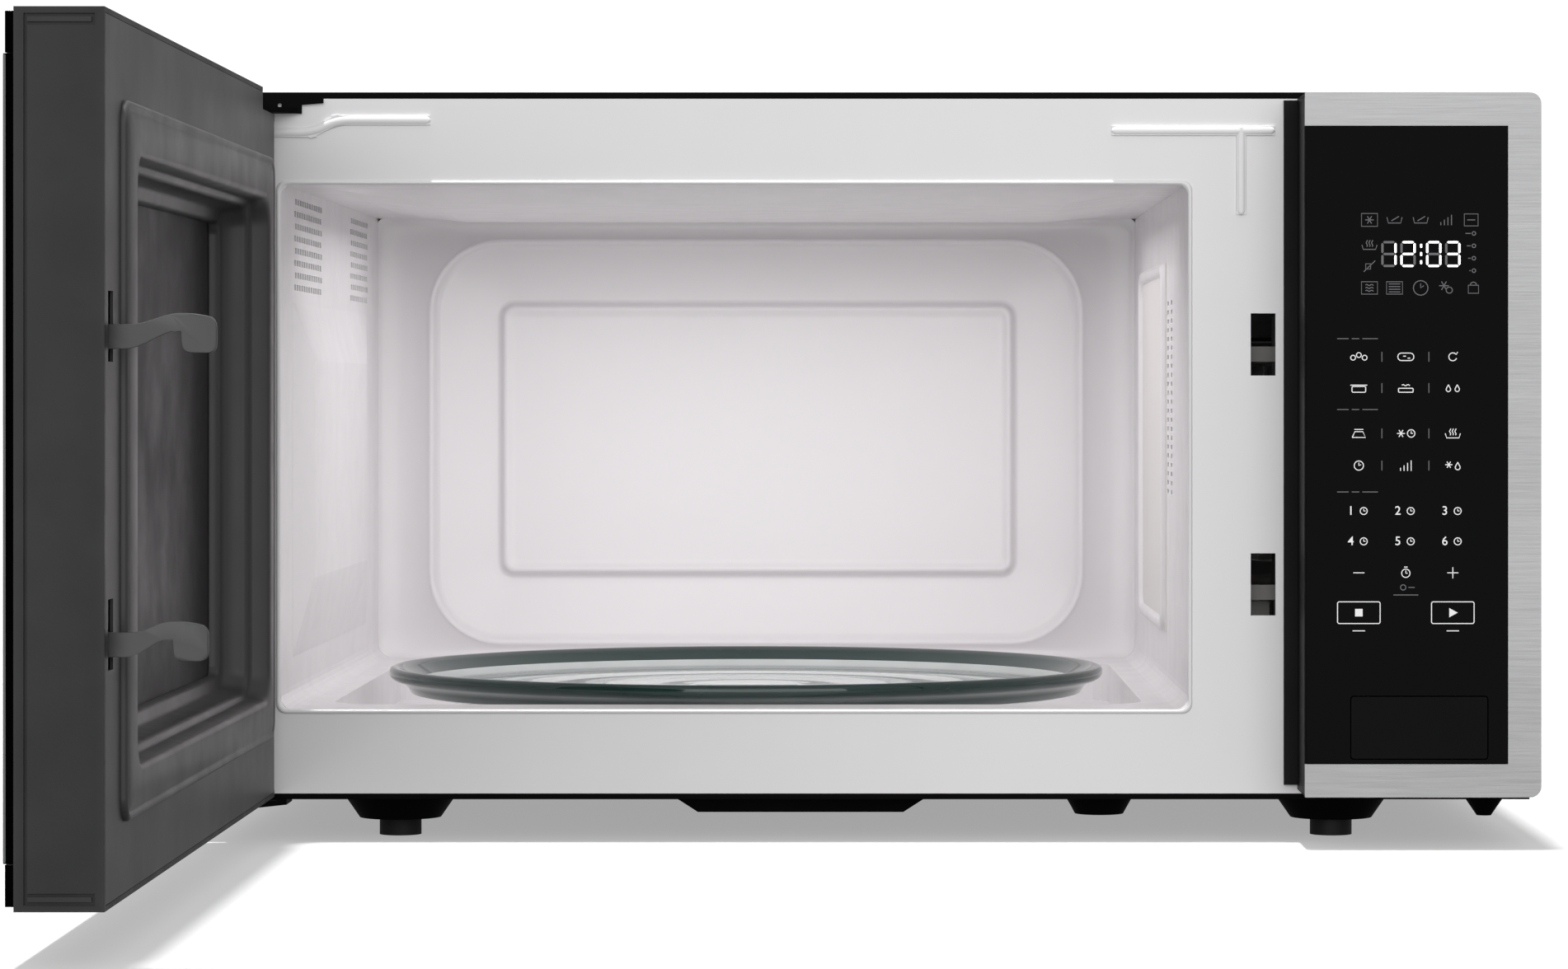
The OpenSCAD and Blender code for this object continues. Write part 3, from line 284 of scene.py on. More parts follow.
WHITE_ENAMEL = (0.80, 0.79, 0.80)
CAVITY_ENAMEL = (0.80, 0.775, 0.79)
FINISHES = {
    "black_paint": painted("black_case_paint", (0.0025, 0.0025, 0.0027), 0.6, 0.05),
    "base_paint": painted("dark_base_paint", (0.002, 0.002, 0.0021), 0.6, 0.04),
    "plate_enamel": enamel("plate_enamel", WHITE_ENAMEL, 0.36),
    "cavity_enamel": enamel("cavity_enamel", CAVITY_ENAMEL, 0.34),
    "mica": moulded("mica_sheet", (0.62, 0.59, 0.58), 0.5, 0.003),
    "foot_rubber": moulded("foot_rubber", (0.005, 0.005, 0.0055), 0.6, level=0.2),
    "zinc_steel": metal("zinc_plated_steel", (0.62, 0.62, 0.60), 0.35),
    "yoke_steel": metal("yoke_steel", (0.50, 0.49, 0.47), 0.42),
    "fin_aluminium": metal("fin_aluminium", (0.80, 0.80, 0.81), 0.3),
    "winding_copper": metal("winding_copper", (0.72, 0.36, 0.18), 0.35),
    "panel_plastic": moulded("panel_plastic", (0.002, 0.002, 0.0022), 0.45, level=0.1),
    "brushed_strip": brushed("brushed_steel", (0.29, 0.29, 0.294), 0.38),
    "black_glass": smoked("black_glass", (0.0022, 0.0022, 0.0024), 0.12, 0.03),
    "button_black": smoked("button_black", (0.0024, 0.0024, 0.0026), 0.2, 0.04),
    "board_green": painted("board_green", (0.03, 0.16, 0.07), 0.4),
    "filter_brown": painted("filter_brown", (0.22, 0.12, 0.05), 0.5),
    "latch_plastic": moulded("latch_plastic", (0.16, 0.155, 0.145), 0.5),
    "lamp_glass": smoked("lamp_glass", (0.85, 0.82, 0.74), 0.15, 0.5),
    "lamp_ceramic": moulded("lamp_ceramic", (0.78, 0.77, 0.73), 0.45),
    "fan_black": moulded("fan_black", (0.02, 0.02, 0.02), 0.5),
    # The tray's pale, mostly opaque body is a painted reflection of the bright rear wall in the glass.
    "tray_glass": pressed_glass("tray_glass", (0.84, 0.875, 0.87), 0.62, 0.25),
    "tray_edge": pressed_glass("tray_edge", (0.010, 0.032, 0.027), 0.97, 0.03),
    "roller_white": moulded("roller_white", (0.70, 0.71, 0.70), 0.4),
    "door_plastic": moulded("door_plastic", (0.020, 0.020, 0.0203), 0.5, level=0.25),
    "door_glass": smoked("door_glass", (0.0022, 0.0022, 0.0023), 0.12, 0.03),
    "door_mesh": perforated("door_mesh", (0.07, 0.068, 0.07), 0.0016, 0.36),
    "door_metal": painted("door_metal", (0.038, 0.0375, 0.038), 0.42, 0.3),
    "choke_plastic": moulded("choke_plastic", (0.055, 0.053, 0.055), 0.38, depth=0.000002,
                            level=0.28, edge_paling=0),
    "window_film": smoked("window_film", (0.030, 0.028, 0.030), 0.42, 0.16),
    "hook_plastic": moulded("hook_plastic", (0.050, 0.050, 0.051), 0.5, depth=0.00003),
}
LIT = glowing("lit_digit", (1.0, 1.0, 1.0), 1.0)
# The printed key legends, faint rules, signs and unlit bars glow by emission: painted glow, not a lamp.
LEGEND_PAINTED_GLOW = glowing("legend_print_painted_glow", (0.62, 0.62, 0.62), 0.55)
FAINT_PAINTED_GLOW = glowing("faint_print_painted_glow", (0.085, 0.085, 0.09), 1.0)
EDGE_BLACK = painted("edge_black", (0.0012, 0.0012, 0.0012), 0.85, 0.0)
# Pale grey for the door glass's outer edge line: a painted highlight.
PAINTED_EDGE_HIGHLIGHT = painted("pane_edge_highlight", (0.15, 0.15, 0.15), 0.5, 0.1)


# ---- Mesh helpers ----

def piece(name, mesh, finish, body, smooth=35):
    """A finished piece that rides on a body."""
    obj = bpy.data.objects.new(name, mesh)
    SCENE.collection.objects.link(obj)
    mesh.materials.append(finish.material if isinstance(finish, Finish) else FINISHES[finish].material)
    mesh.shade_smooth()
    mesh.set_sharp_from_angle(angle=math.radians(smooth))
    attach(obj, body)
    return obj


def from_faces(name, points, faces):
    mesh = bpy.data.meshes.new(name)
    mesh.from_pydata([tuple(p) for p in points], [], faces)
    bm = bmesh.new()
    bm.from_mesh(mesh)
    bmesh.ops.remove_doubles(bm, verts=bm.verts, dist=1e-7)
    bmesh.ops.recalc_face_normals(bm, faces=bm.faces)
    bm.to_mesh(mesh)
    bm.free()
    return mesh


def loft(name, rings, closed=True, start_cap=False, end_cap=False):
    """Joins rings that have the same count of points."""
    count = len(rings[0])
    points = [p for ring in rings for p in ring]
    turns = count if closed else count - 1
    faces = []
    for r in range(len(rings) - 1):
        for i in range(turns):
            j = (i + 1) % count
            faces.append((r * count + i, r * count + j, (r + 1) * count + j, (r + 1) * count + i))
    if start_cap:
        faces.append(tuple(range(count)))
    if end_cap:
        faces.append(tuple(range((len(rings) - 1) * count, len(rings) * count)))
    return from_faces(name, points, faces)


def grow(rect, by):
    """A rectangle with each side moved outwards by that much."""
    (a0, a1), (b0, b1) = rect
    return (a0 - by, a1 + by), (b0 - by, b1 + by)


def rounded(rect, radius, steps=8):
    """Points of a rounded rectangle, in its own two directions."""
    (a0, a1), (b0, b1) = rect
    corners = [(a1 - radius, b1 - radius, 0), (a0 + radius, b1 - radius, 90),
               (a0 + radius, b0 + radius, 180), (a1 - radius, b0 + radius, 270)]
    points = []
    for ca, cb, start in corners:
        for i in range(steps + 1):
            turn = math.radians(start + 90 * i / steps)
            points.append((ca + radius * math.cos(turn), cb + radius * math.sin(turn)))
    return points


def facing_x(points, x):
    """Points given as (y, z) on a plane of constant x."""
    return [(x, a, b) for a, b in points]


def facing_y(points, y):
    """Points given as (x, z) on a plane of constant y."""
    return [(a, y, b) for a, b in points]


def turned(name, profile, centre, steps=96):
    """A lathe piece about the vertical through centre, from (radius, z) points."""
    rings = []
    for i in range(steps):
        turn = 2 * math.pi * i / steps
        across, along = math.cos(turn), math.sin(turn)
        rings.append([(centre[0] + r * across, centre[1] + r * along, z) for r, z in profile])
    rings.append(rings[0])
    return loft(name, rings, closed=False)


def fillet(points, radius, steps=4, closed=False):
    """The same outline with its corners rounded, for points of two numbers."""
    out = []
    count = len(points)
    for i, p in enumerate(points):
        if not closed and i in (0, count - 1):
            out.append(p)
            continue
        here = Vector(p)
        back = Vector(points[i - 1]) - here
        ahead = Vector(points[(i + 1) % count]) - here
        reach = min(radius, back.length * 0.49, ahead.length * 0.49)
        a, b = here + back.normalized() * reach, here + ahead.normalized() * reach
        for k in range(steps + 1):
            t = k / steps
            out.append(tuple(a * (1 - t) ** 2 + here * 2 * t * (1 - t) + b * t ** 2))
    return out


def prism(name, outline, low, high, axis, edge=0.0005):
    """An outline pushed from low to high along x or y, with softened rims."""
    put = facing_x if axis == "x" else facing_y
    centre = sum((Vector(p) for p in outline), Vector((0, 0))) / len(outline)

    def inset(by):
        return [tuple(Vector(p) + (centre - Vector(p)).normalized() * by) for p in outline]
    rings = [put(inset(edge), low), put(inset(edge * 0.3), low + edge * 0.3), put(outline, low + edge),
             put(outline, high - edge), put(inset(edge * 0.3), high - edge * 0.3), put(inset(edge), high)]
    return loft(name, rings, start_cap=True, end_cap=True)


def ridge(name, path, width, height, y, sink=0.0003):
    """A half-round bead on the front plate along a path of (x, z) points."""
    smooth_path = [Vector(p) for p in fillet(path, 0.006)]
    rings = []
    half = width / 2
    for i, p in enumerate(smooth_path):
        ahead = smooth_path[min(i + 1, len(smooth_path) - 1)] - smooth_path[max(i - 1, 0)]
        side = Vector((-ahead.y, ahead.x)).normalized()
        rings.append((p, side, 1.0))
    first = (smooth_path[0] - smooth_path[1]).normalized()
    last = (smooth_path[-1] - smooth_path[-2]).normalized()
    ends = []
    for k in range(1, 5):
        turn = math.radians(90 * k / 4)
        ends.append((math.sin(turn) * half, max(math.cos(turn), 0.02)))
    stations = [(smooth_path[0] + first * out, rings[0][1], size) for out, size in reversed(ends)]
    stations += rings
    stations += [(smooth_path[-1] + last * out, rings[-1][1], size) for out, size in ends]
    loops = []
    for p, side, size in stations:
        loop = []
        for k in range(9):
            turn = math.pi * k / 8
            spot = p + side * math.cos(turn) * half * size
            rise = math.sin(turn) ** 0.8 * height * (1 if size > 0.5 else size * 2)
            loop.append((spot.x, y + sink - rise - sink * math.sin(turn), spot.y))
        loops.append(loop)
    return loft(name, loops, closed=False)


# The finish that each CAD node is packed with
SLOT_OF = {name: obj.data.materials[0].name.split(".")[0] for name, obj in NODES.items()}


def dress(node, bevel=0.0, segments=2, finish=None):
    """Gives a CAD node its finish, and a soft edge where that helps."""
    obj = NODES[node]
    obj.data.materials.clear()
    obj.data.materials.append((finish or FINISHES[SLOT_OF[node]]).material)
    if bevel:
        soft = obj.modifiers.new("edge", "BEVEL")
        soft.width = bevel
        soft.segments = segments
        soft.limit_method = "ANGLE"
        soft.angle_limit = math.radians(40)
        soft.harden_normals = True
    return obj


def blacken_end(node):
    """Gives the faces at the door's free end a black finish."""
    obj = NODES[node]
    obj.data.materials.append(EDGE_BLACK.material)
    turn = obj.matrix_world.to_3x3()
    for face in obj.data.polygons:
        if (turn @ face.normal).y < -0.9:
            face.material_index = 1


# ---- Cabinet ----

def dress_cad_nodes():
    for node in NODES:
        dress(node)
    for node in ("outer_case", "control_housing", "foot_front_left", "foot_front_right", "foot_rear_left",
                 "foot_rear_right", "latch_board", "control_fascia"):
        dress(node, 0.0005)
    dress("drive_coupler", finish=FINISHES["roller_white"])
    for node in ("door_fascia", "door_glass"):
        blacken_end(node)


def cavity_rear():
    """Rear wall: a shallow dish with a double ridge round it and a raised flat in the middle."""
    inner = (CAVITY_X, (CAVITY_FLOOR, CAVITY_TOP))
    dish = ((CAVITY_X[0] + 0.0315, CAVITY_X[1] - 0.0320), (CAVITY_FLOOR + 0.0107, CAVITY_TOP - 0.0146))
    flat = ((dish[0][0] + 0.0385, dish[0][1] - 0.0370), (dish[1][0] + 0.0375, dish[1][1] - 0.0345))
    y = REAR_WALL
    steps = 10
    rings = [facing_y(rounded(grow(inner, 0.0008), 0.006, steps), y - 0.004),
             facing_y(rounded(grow(inner, 0.0002), 0.009, steps), y - 0.0015),
             facing_y(rounded(grow(inner, -0.0025), 0.010, steps), y)]
    for by, depth, radius in ((0.0048, 0, 0.041), (0.0036, -0.0012, 0.040), (0.0022, -0.0016, 0.0385),
                              (0.0008, -0.0008, 0.0372), (0.0, 0.0012, 0.0365), (-0.0012, 0.0026, 0.0355),
                              (-0.003, 0.0032, 0.034)):
        rings.append(facing_y(rounded(grow(dish, by), radius, steps), y + depth))
    for by, depth, radius in ((0.0050, 0.0066, 0.010), (0.0034, 0.0068, 0.0085), (0.0022, 0.0058, 0.0075),
                              (0.0010, 0.0036, 0.0062), (0.0, 0.0030, 0.0055), (-0.0016, 0.0030, 0.0050),
                              (-0.0028, 0.0038, 0.0045), (-0.006, 0.0040, 0.004)):
        rings.append(facing_y(rounded(grow(flat, by), radius, steps), y + depth))
    wall = piece("rear_wall", loft("rear_wall", rings, end_cap=True), "cavity_enamel", "cabinet",
                 60)
    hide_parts("cavity_back")


def plate_beads():
    """Stiffening beads pressed into the front plate, and the rolled edge of the mouth."""
    left = -(PLATE_X[1] - PLATE_X[0]) / 2 - 0.0012
    z = PLATE_Z[1] - 0.0155
    right = GLASS_X[0] - 0.0022
    paths = {
        "left_bead": [(left + 0.025, z), (left + 0.0508, z), (left + 0.0618, z + 0.0056),
                      (left + 0.1027, z + 0.0056)],
        "right_bead": [(right - 0.0816, z + 0.0008), (right - 0.0112, z + 0.0008)],
        "right_stem": [(right - 0.0243, z + 0.0008), (right - 0.0243, z - 0.0356)]}
    for name, path in paths.items():
        bead = ridge(name, path, 0.0048, 0.0014, PLATE_FRONT)
        piece(name, bead, "plate_enamel", "cabinet", 80)
    mouth = (CAVITY_X, (CAVITY_FLOOR, CAVITY_TOP))
    rings = []
    for by, depth in ((0.0012, 0.0), (0.0010, -0.0006), (0.0002, -0.0010), (-0.0006, -0.0006),
                      (-0.0008, 0.0002), (-0.0008, 0.003)):
        rings.append(facing_y(rounded(grow(mouth, by), 0.0045, 6), PLATE_FRONT + depth))
    piece("mouth_edge", loft("mouth_edge", rings), "plate_enamel", "cabinet", 80)


def waveguide_frame():
    """Cover over the microwave inlet: a pressed frame with a lighter sheet in it."""
    (_, x1), y, z = spans("waveguide_cover")
    rings = []
    for by, depth, radius in ((0, 0.0, 0.012), (-0.0008, -0.0022, 0.0115), (-0.002, -0.003, 0.011),
                              (-0.0045, -0.003, 0.010), (-0.0058, -0.0022, 0.009), (-0.0068, 0.0, 0.008)):
        rings.append(facing_x(rounded(grow((y, z), by), radius, 5), x1 + depth))
    piece("inlet_frame", loft("inlet_frame", rings), "cavity_enamel", "cabinet", 60)


# ---- Turntable ----

def glass_tray():
    """Pressed glass tray with a rolled rim, stepped floor and foot."""
    r = (TRAY[1].x - TRAY[0].x) / 2
    top = TRAY[1].z
    bottom = top - 0.0143
    foot = r - 0.010
    outer = [(0.0, 0.0), (0.026, 0.0), (0.0275, -0.0004), (0.029, 0.0), (foot - 0.030, 0.0),
             (foot - 0.028, 0.0), (foot - 0.006, 0.0), (foot - 0.001, 0.0012),
             (foot + 0.0008, 0.0042), (foot + 0.003, 0.0062),
             (r - 0.003, 0.0074), (r - 0.0008, 0.0088), (r, 0.0105), (r, 0.0124), (r - 0.0008, 0.0137),
             (r - 0.0026, 0.0143), (r - 0.0048, 0.0140), (r - 0.0075, 0.0122), (foot - 0.004, 0.0078),
             (foot - 0.009, 0.0052), (foot - 0.014, 0.0042), (foot - 0.016, 0.0046), (foot - 0.018, 0.0040),
             (0.118, 0.0040), (0.116, 0.0045), (0.114, 0.0040),
             (0.074, 0.0040), (0.072, 0.0045), (0.070, 0.0040),
             (0.030, 0.0040), (0.027, 0.0044), (0.024, 0.0040), (0.0, 0.0040)]
    profile = [(a, bottom + b) for a, b in outer]
    tray = piece("pressed_tray", turned("pressed_tray", profile, TRAY_CENTRE, 128), "tray_glass", "tray",
                 50)
    tray.data.materials.append(FINISHES["tray_edge"].material)
    for face in tray.data.polygons:
        spot = face.center - TRAY_CENTRE
        face.material_index = int(math.hypot(spot.x, spot.y) > foot - 0.001)
    tray.visible_shadow = False
    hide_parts("glass_tray")


# ---- Door ----

def pane_edge_highlight():
    """Polished outer edge of the door's glass: a pale line down the free end, a painted highlight where the
    edge catches the light.
    """
    (x, _), (y, _), (z0, z1) = spans("door_glass")
    line_w, proud = 0.9 * MM, 0.15 * MM
    outline = rounded(((x, x + line_w), (z0 + 0.4 * MM, z1 - 0.4 * MM)), 0.3 * MM, 2)
    sides = [facing_y(outline, y + proud), facing_y(outline, y - proud)]
    mesh = loft("pane_edge_highlight", sides, start_cap=True, end_cap=True)
    piece("pane_edge_highlight", mesh, PAINTED_EDGE_HIGHLIGHT, "door")


def choke_ring():
    """Cover round the window: a rounded rim, a flat band, a stepped recess and its seat."""
    outer = (CHOKE_Y, CHOKE_Z)
    proud = CHOKE_X[1]
    face = FRAME_X[1]
    (wy, wz) = WINDOW
    rings = []
    for by, x, radius in ((0, face - 0.0004, 0.009), (0, proud - 0.0012, 0.009),
                          (-0.0005, proud - 0.0004, 0.0085), (-0.0014, proud, 0.008),
                          (-0.0026, proud - 0.0003, 0.007), (-0.0032, proud - 0.0006, 0.0065),
                          (-0.0040, proud - 0.0006, 0.006), (-0.0048, proud - 0.0002, 0.006)):
        rings.append(facing_x(rounded(grow(outer, by), radius), x))
    for by, x, radius in ((0.0026, proud - 0.0002, 0.0150), (0.0010, proud - 0.0006, 0.0138),
                          (0.0, proud - 0.0018, 0.0130), (-0.0008, proud - 0.0080, 0.0124),
                          (-0.0014, proud - 0.0092, 0.0120), (-0.0026, proud - 0.0096, 0.0112),
                          (-0.0036, proud - 0.0104, 0.0104), (-0.0040, proud - 0.0125, 0.0100),
                          (-0.0052, proud - 0.0200, 0.0096), (-0.0066, proud - 0.0212, 0.0086),
                          (-0.0098, proud - 0.0216, 0.0070), (-0.0110, proud - 0.0226, 0.0062),
                          (-0.0114, proud - 0.0262, 0.0060)):
        rings.append(facing_x(rounded(grow((wy, wz), by), radius), x))
    cover = piece("choke_cover_shell", loft("choke_cover_shell", rings), "choke_plastic", "door",
                  50)
    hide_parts("choke_cover")


# Undersides of the two hook arms, from where the slots in the inner panel stand
HOOK_LEVELS = (FRAME_Z[0] + 0.0898, FRAME_Z[0] + 0.2001)
WINDOW = ((CHOKE_Y[0] + 0.0279, CHOKE_Y[1] - 0.0177), (CHOKE_Z[0] + 0.0186, CHOKE_Z[1] - 0.0192))


def hooks():
    """The two latch hooks, each a flat arm that steps up to a blunt downturned tip."""
    (_, reach), (y0, y1), _ = spans("latch_hooks")
    face = FRAME_X[1]
    mid = (y0 + y1) / 2
    meshes = []
    for level, tip in zip(HOOK_LEVELS, (reach - 0.003, reach)):
        shape = [(face - 0.006, level), (face + 0.008, level), (tip - 0.017, level + 0.0064),
                 (tip - 0.0126, level + 0.0064), (tip - 0.012, level + 0.0064), (tip - 0.012, level + 0.0058),
                 (tip - 0.012, level - 0.0015), (tip, level - 0.0015),
                 (tip, level + 0.0112), (tip - 0.008, level + 0.0128), (tip - 0.016, level + 0.0128),
                 (face + 0.010, level + 0.0088), (face - 0.006, level + 0.0088)]
        # The two points beside the inner corner keep it tight, where it hooks over its ledge
        soft = [shape[0]] + fillet(shape, 0.0034)[1:-1] + [shape[-1]]
        mesh = prism("hook", soft, mid - 0.002, mid + 0.002, "y", 0.0004)
        for v in mesh.vertices:
            if v.co.x > tip - 0.007 and v.co.y < mid:
                v.co.y += (v.co.x - tip + 0.007) * 0.22
        meshes.append(mesh)
    bm = bmesh.new()
    for mesh in meshes:
        bm.from_mesh(mesh)
    joined = bpy.data.meshes.new("latch_hook_pair")
    bm.to_mesh(joined)
    bm.free()
    pair = piece("latch_hook_pair", joined, "hook_plastic", "latch_slide", 30)
    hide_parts("latch_hooks")


# ---- Control panel ----

def stroke(points, width, closed=False):
    """Flat ribbon along points of (x, z): its two sides as point rows."""
    rows = []
    count = len(points)
    for i, p in enumerate(points):
        if closed:
            back, ahead = Vector(points[i - 1]), Vector(points[(i + 1) % count])
        else:
            back, ahead = Vector(points[max(i - 1, 0)]), Vector(points[min(i + 1, count - 1)])
        way = (ahead - back).normalized()
        side = Vector((-way.y, way.x)) * width / 2
        here = Vector(p)
        rows.append((here + side, here - side))
    return rows


def inked(name, lines, width, y, finish, body="cabinet"):
    """Thin printed lines on a face of constant y. Each line is (points, closed)."""
    points, faces = [], []
    for line, closed in lines:
        rows = stroke(line, width, closed)
        base = len(points)
        for a, b in rows:
            points += [(a.x, y, a.y), (b.x, y, b.y)]
        turns = len(rows) if closed else len(rows) - 1
        for i in range(turns):
            j = (i + 1) % len(rows)
            faces.append((base + 2 * i, base + 2 * j, base + 2 * j + 1, base + 2 * i + 1))
    mesh = bpy.data.meshes.new(name)
    mesh.from_pydata(points, [], faces)
    return piece(name, mesh, finish, body)


def circle(x, z, r, start=0, end=360, steps=16):
    """A circle or an arc of one, in degrees."""
    whole = end - start >= 360
    count = steps if whole else steps + 1
    points = [(x + r * math.cos(math.radians(start + (end - start) * i / steps)),
               z + r * math.sin(math.radians(start + (end - start) * i / steps))) for i in range(count)]
    return points, whole


def line(*points):
    """An open line through the points."""
    return list(points), False


def outline(x, z, w, h, r=0.0):
    """A rectangle about a middle, rounded if r is given."""
    rect = ((x - w / 2, x + w / 2), (z - h / 2, z + h / 2))
    return (rounded(rect, r, 4) if r else [(rect[0][0], rect[1][0]), (rect[0][1], rect[1][0]),
            (rect[0][1], rect[1][1]), (rect[0][0], rect[1][1])]), True


SEGMENTS = {"0": "abcdef", "1": "bc", "2": "abged", "3": "abgcd", "8": "abcdefg"}


def digit_bars(x, z, w, h, thick, which):
    """The bars of a seven-segment digit, as closed outlines of (x, z) points."""
    m = thick / 2
    gap = thick * 0.28
    bars = {}
    ends = {"a": ((-w / 2, h / 2), (w / 2, h / 2)), "b": ((w / 2, h / 2), (w / 2, 0)),
            "c": ((w / 2, 0), (w / 2, -h / 2)), "d": ((-w / 2, -h / 2), (w / 2, -h / 2)),
            "e": ((-w / 2, 0), (-w / 2, -h / 2)), "f": ((-w / 2, h / 2), (-w / 2, 0)),
            "g": ((-w / 2, 0), (w / 2, 0))}
    out = []
    for key in which:
        a, b = (Vector(p) for p in ends[key])
        way = (b - a).normalized()
        side = Vector((-way.y, way.x)) * m
        a, b = a + way * gap, b - way * gap
        shape = [a, a + way * m + side, b - way * m + side, b, b - way * m - side, a + way * m - side]
        out.append([(x + p.x, z + p.y) for p in shape])
    return out


def filled(name, shapes, y, finish, body="cabinet"):
    """Flat filled shapes on a face of constant y."""
    points, faces = [], []
    for shape in shapes:
        faces.append(tuple(range(len(points), len(points) + len(shape))))
        points += [(a, y, b) for a, b in shape]
    mesh = bpy.data.meshes.new(name)
    mesh.from_pydata(points, [], faces)
    return piece(name, mesh, finish, body)


def clock_display():
    """A seven-segment clock with its unlit bars, and faint signs round it."""
    y = GLASS_FRONT - 0.00006
    z = DISPLAY_MID[1]
    wide, tall, thick = 0.0059, 0.0107, 0.00105
    lit, dim = [], []
    for x, figure in zip((-0.0141, -0.0055, 0.0061, 0.0147), "1203"):
        on = SEGMENTS[figure]
        lit += digit_bars(DISPLAY_MID[0] + x, z, wide, tall, thick, on)
        dim += digit_bars(DISPLAY_MID[0] + x, z, wide, tall, thick, [k for k in "abcdefg" if k not in on])
    for step in (-0.0037, 0.0, 0.0037):
        dot = ((DISPLAY_MID[0] - 0.0001, DISPLAY_MID[0] + 0.0009), (z + step - 0.0009, z + step + 0.0009))
        lit.append(rounded(dot, 0.0004, 3))
    filled("clock_digits", lit, y, LIT)
    filled("unlit_bars", dim, y, FAINT_PAINTED_GLOW)
    at = [DISPLAY_MID[0] + d * MM for d in (-22.9, -11.6, 0.2, 11.7, 23.0)]
    top, low = z + 0.0154, z - 0.0153
    signs = [outline(at[0], top, 0.0072, 0.0058), *star(at[0], top, 0.0019), *tray_sign(at[1], top),
             *tray_sign(at[2], top), *bars(at[3], top, 4), outline(at[4], top, 0.0062, 0.0054),
             line((at[4] - 0.0018, top), (at[4] + 0.0018, top)), *steam(at[0], z + 0.0045),
             line((at[0] - 0.0026, z - 0.008), (at[0] + 0.0026, z - 0.003)),
             outline(at[0] - 0.0006, z - 0.0056, 0.0022, 0.0024), outline(at[0], low, 0.0072, 0.0056),
             *waves(at[0], low, 3), outline(at[1], low, 0.0072, 0.0056), *rules(at[1], low, 4),
             circle(at[2], low, 0.0033),
             line((at[2], low + 0.002), (at[2], low), (at[2] + 0.0014, low + 0.001)),
             *star(at[3] - 0.001, low + 0.001, 0.0022), circle(at[3] + 0.0014, low - 0.001, 0.0014),
             outline(at[4] + 0.001, low - 0.0006, 0.0046, 0.0036),
             circle(at[4] + 0.001, low + 0.0012, 0.0014, 0, 180)]
    for k in range(4):
        signs += [circle(at[4] + 0.0012, z + 0.0093 - 0.0056 * k, 0.0008)]
        level = z + 0.0093 - 0.0056 * k
        signs.append(line((at[4] - 0.0026 + 0.0006 * k, level), (at[4] - 0.0002, level)))
    inked("display_signs", signs, 0.0004, y, FAINT_PAINTED_GLOW)


def star(x, z, r):
    """Three crossed lines."""
    arms = [(r * math.cos(math.radians(a)), r * math.sin(math.radians(a))) for a in (0, 60, 120)]
    return [line((x - dx, z - dz), (x + dx, z + dz)) for dx, dz in arms]


def tray_sign(x, z):
    """A shallow dish with a slanting stroke in it."""
    return [line((x - 0.0034, z + 0.0012), (x - 0.0028, z - 0.0014), (x + 0.0028, z - 0.0014),
                 (x + 0.0034, z + 0.0012)),
            line((x - 0.0014, z - 0.0004), (x + 0.0020, z + 0.0016))]


def bars(x, z, count):
    """Upright bars that rise to the right."""
    return [line((x - 0.0024 + 0.0016 * k, z - 0.0024), (x - 0.0024 + 0.0016 * k, z - 0.0010 + 0.0011 * k))
            for k in range(count)]


def steam(x, z):
    curls = [line(*[(x + k * 0.0012 + 0.0003 * math.sin(t * 1.6), z - 0.0012 + t * 0.0006) for t in range(6)])
             for k in (-1, 0, 1)]
    return curls + [line((x - 0.0034, z - 0.0004), (x - 0.0028, z - 0.0024), (x + 0.0028, z - 0.0024),
                         (x + 0.0034, z - 0.0004))]


def waves(x, z, count):
    """Short wavy lines, one above another."""
    return [line(*[(x - 0.0018 + t * 0.0006, z - 0.0013 + k * 0.0013 + 0.0003 * math.sin(t * 1.7))
                   for t in range(7)])
            for k in range(count)]


def rules(x, z, count):
    """Short level lines, one above another."""
    return [line((x - 0.0026, z - 0.0018 + k * 0.0012), (x + 0.0026, z - 0.0018 + k * 0.0012))
            for k in range(count)]


def drop(x, z, r):
    """A falling drop, round below and pointed above."""
    return line(*([(x, z + 2.1 * r)] + [(x + r * math.cos(math.radians(a)), z + r * math.sin(math.radians(a)))
                                         for a in range(40, -221, -20)] + [(x, z + 2.1 * r)]))


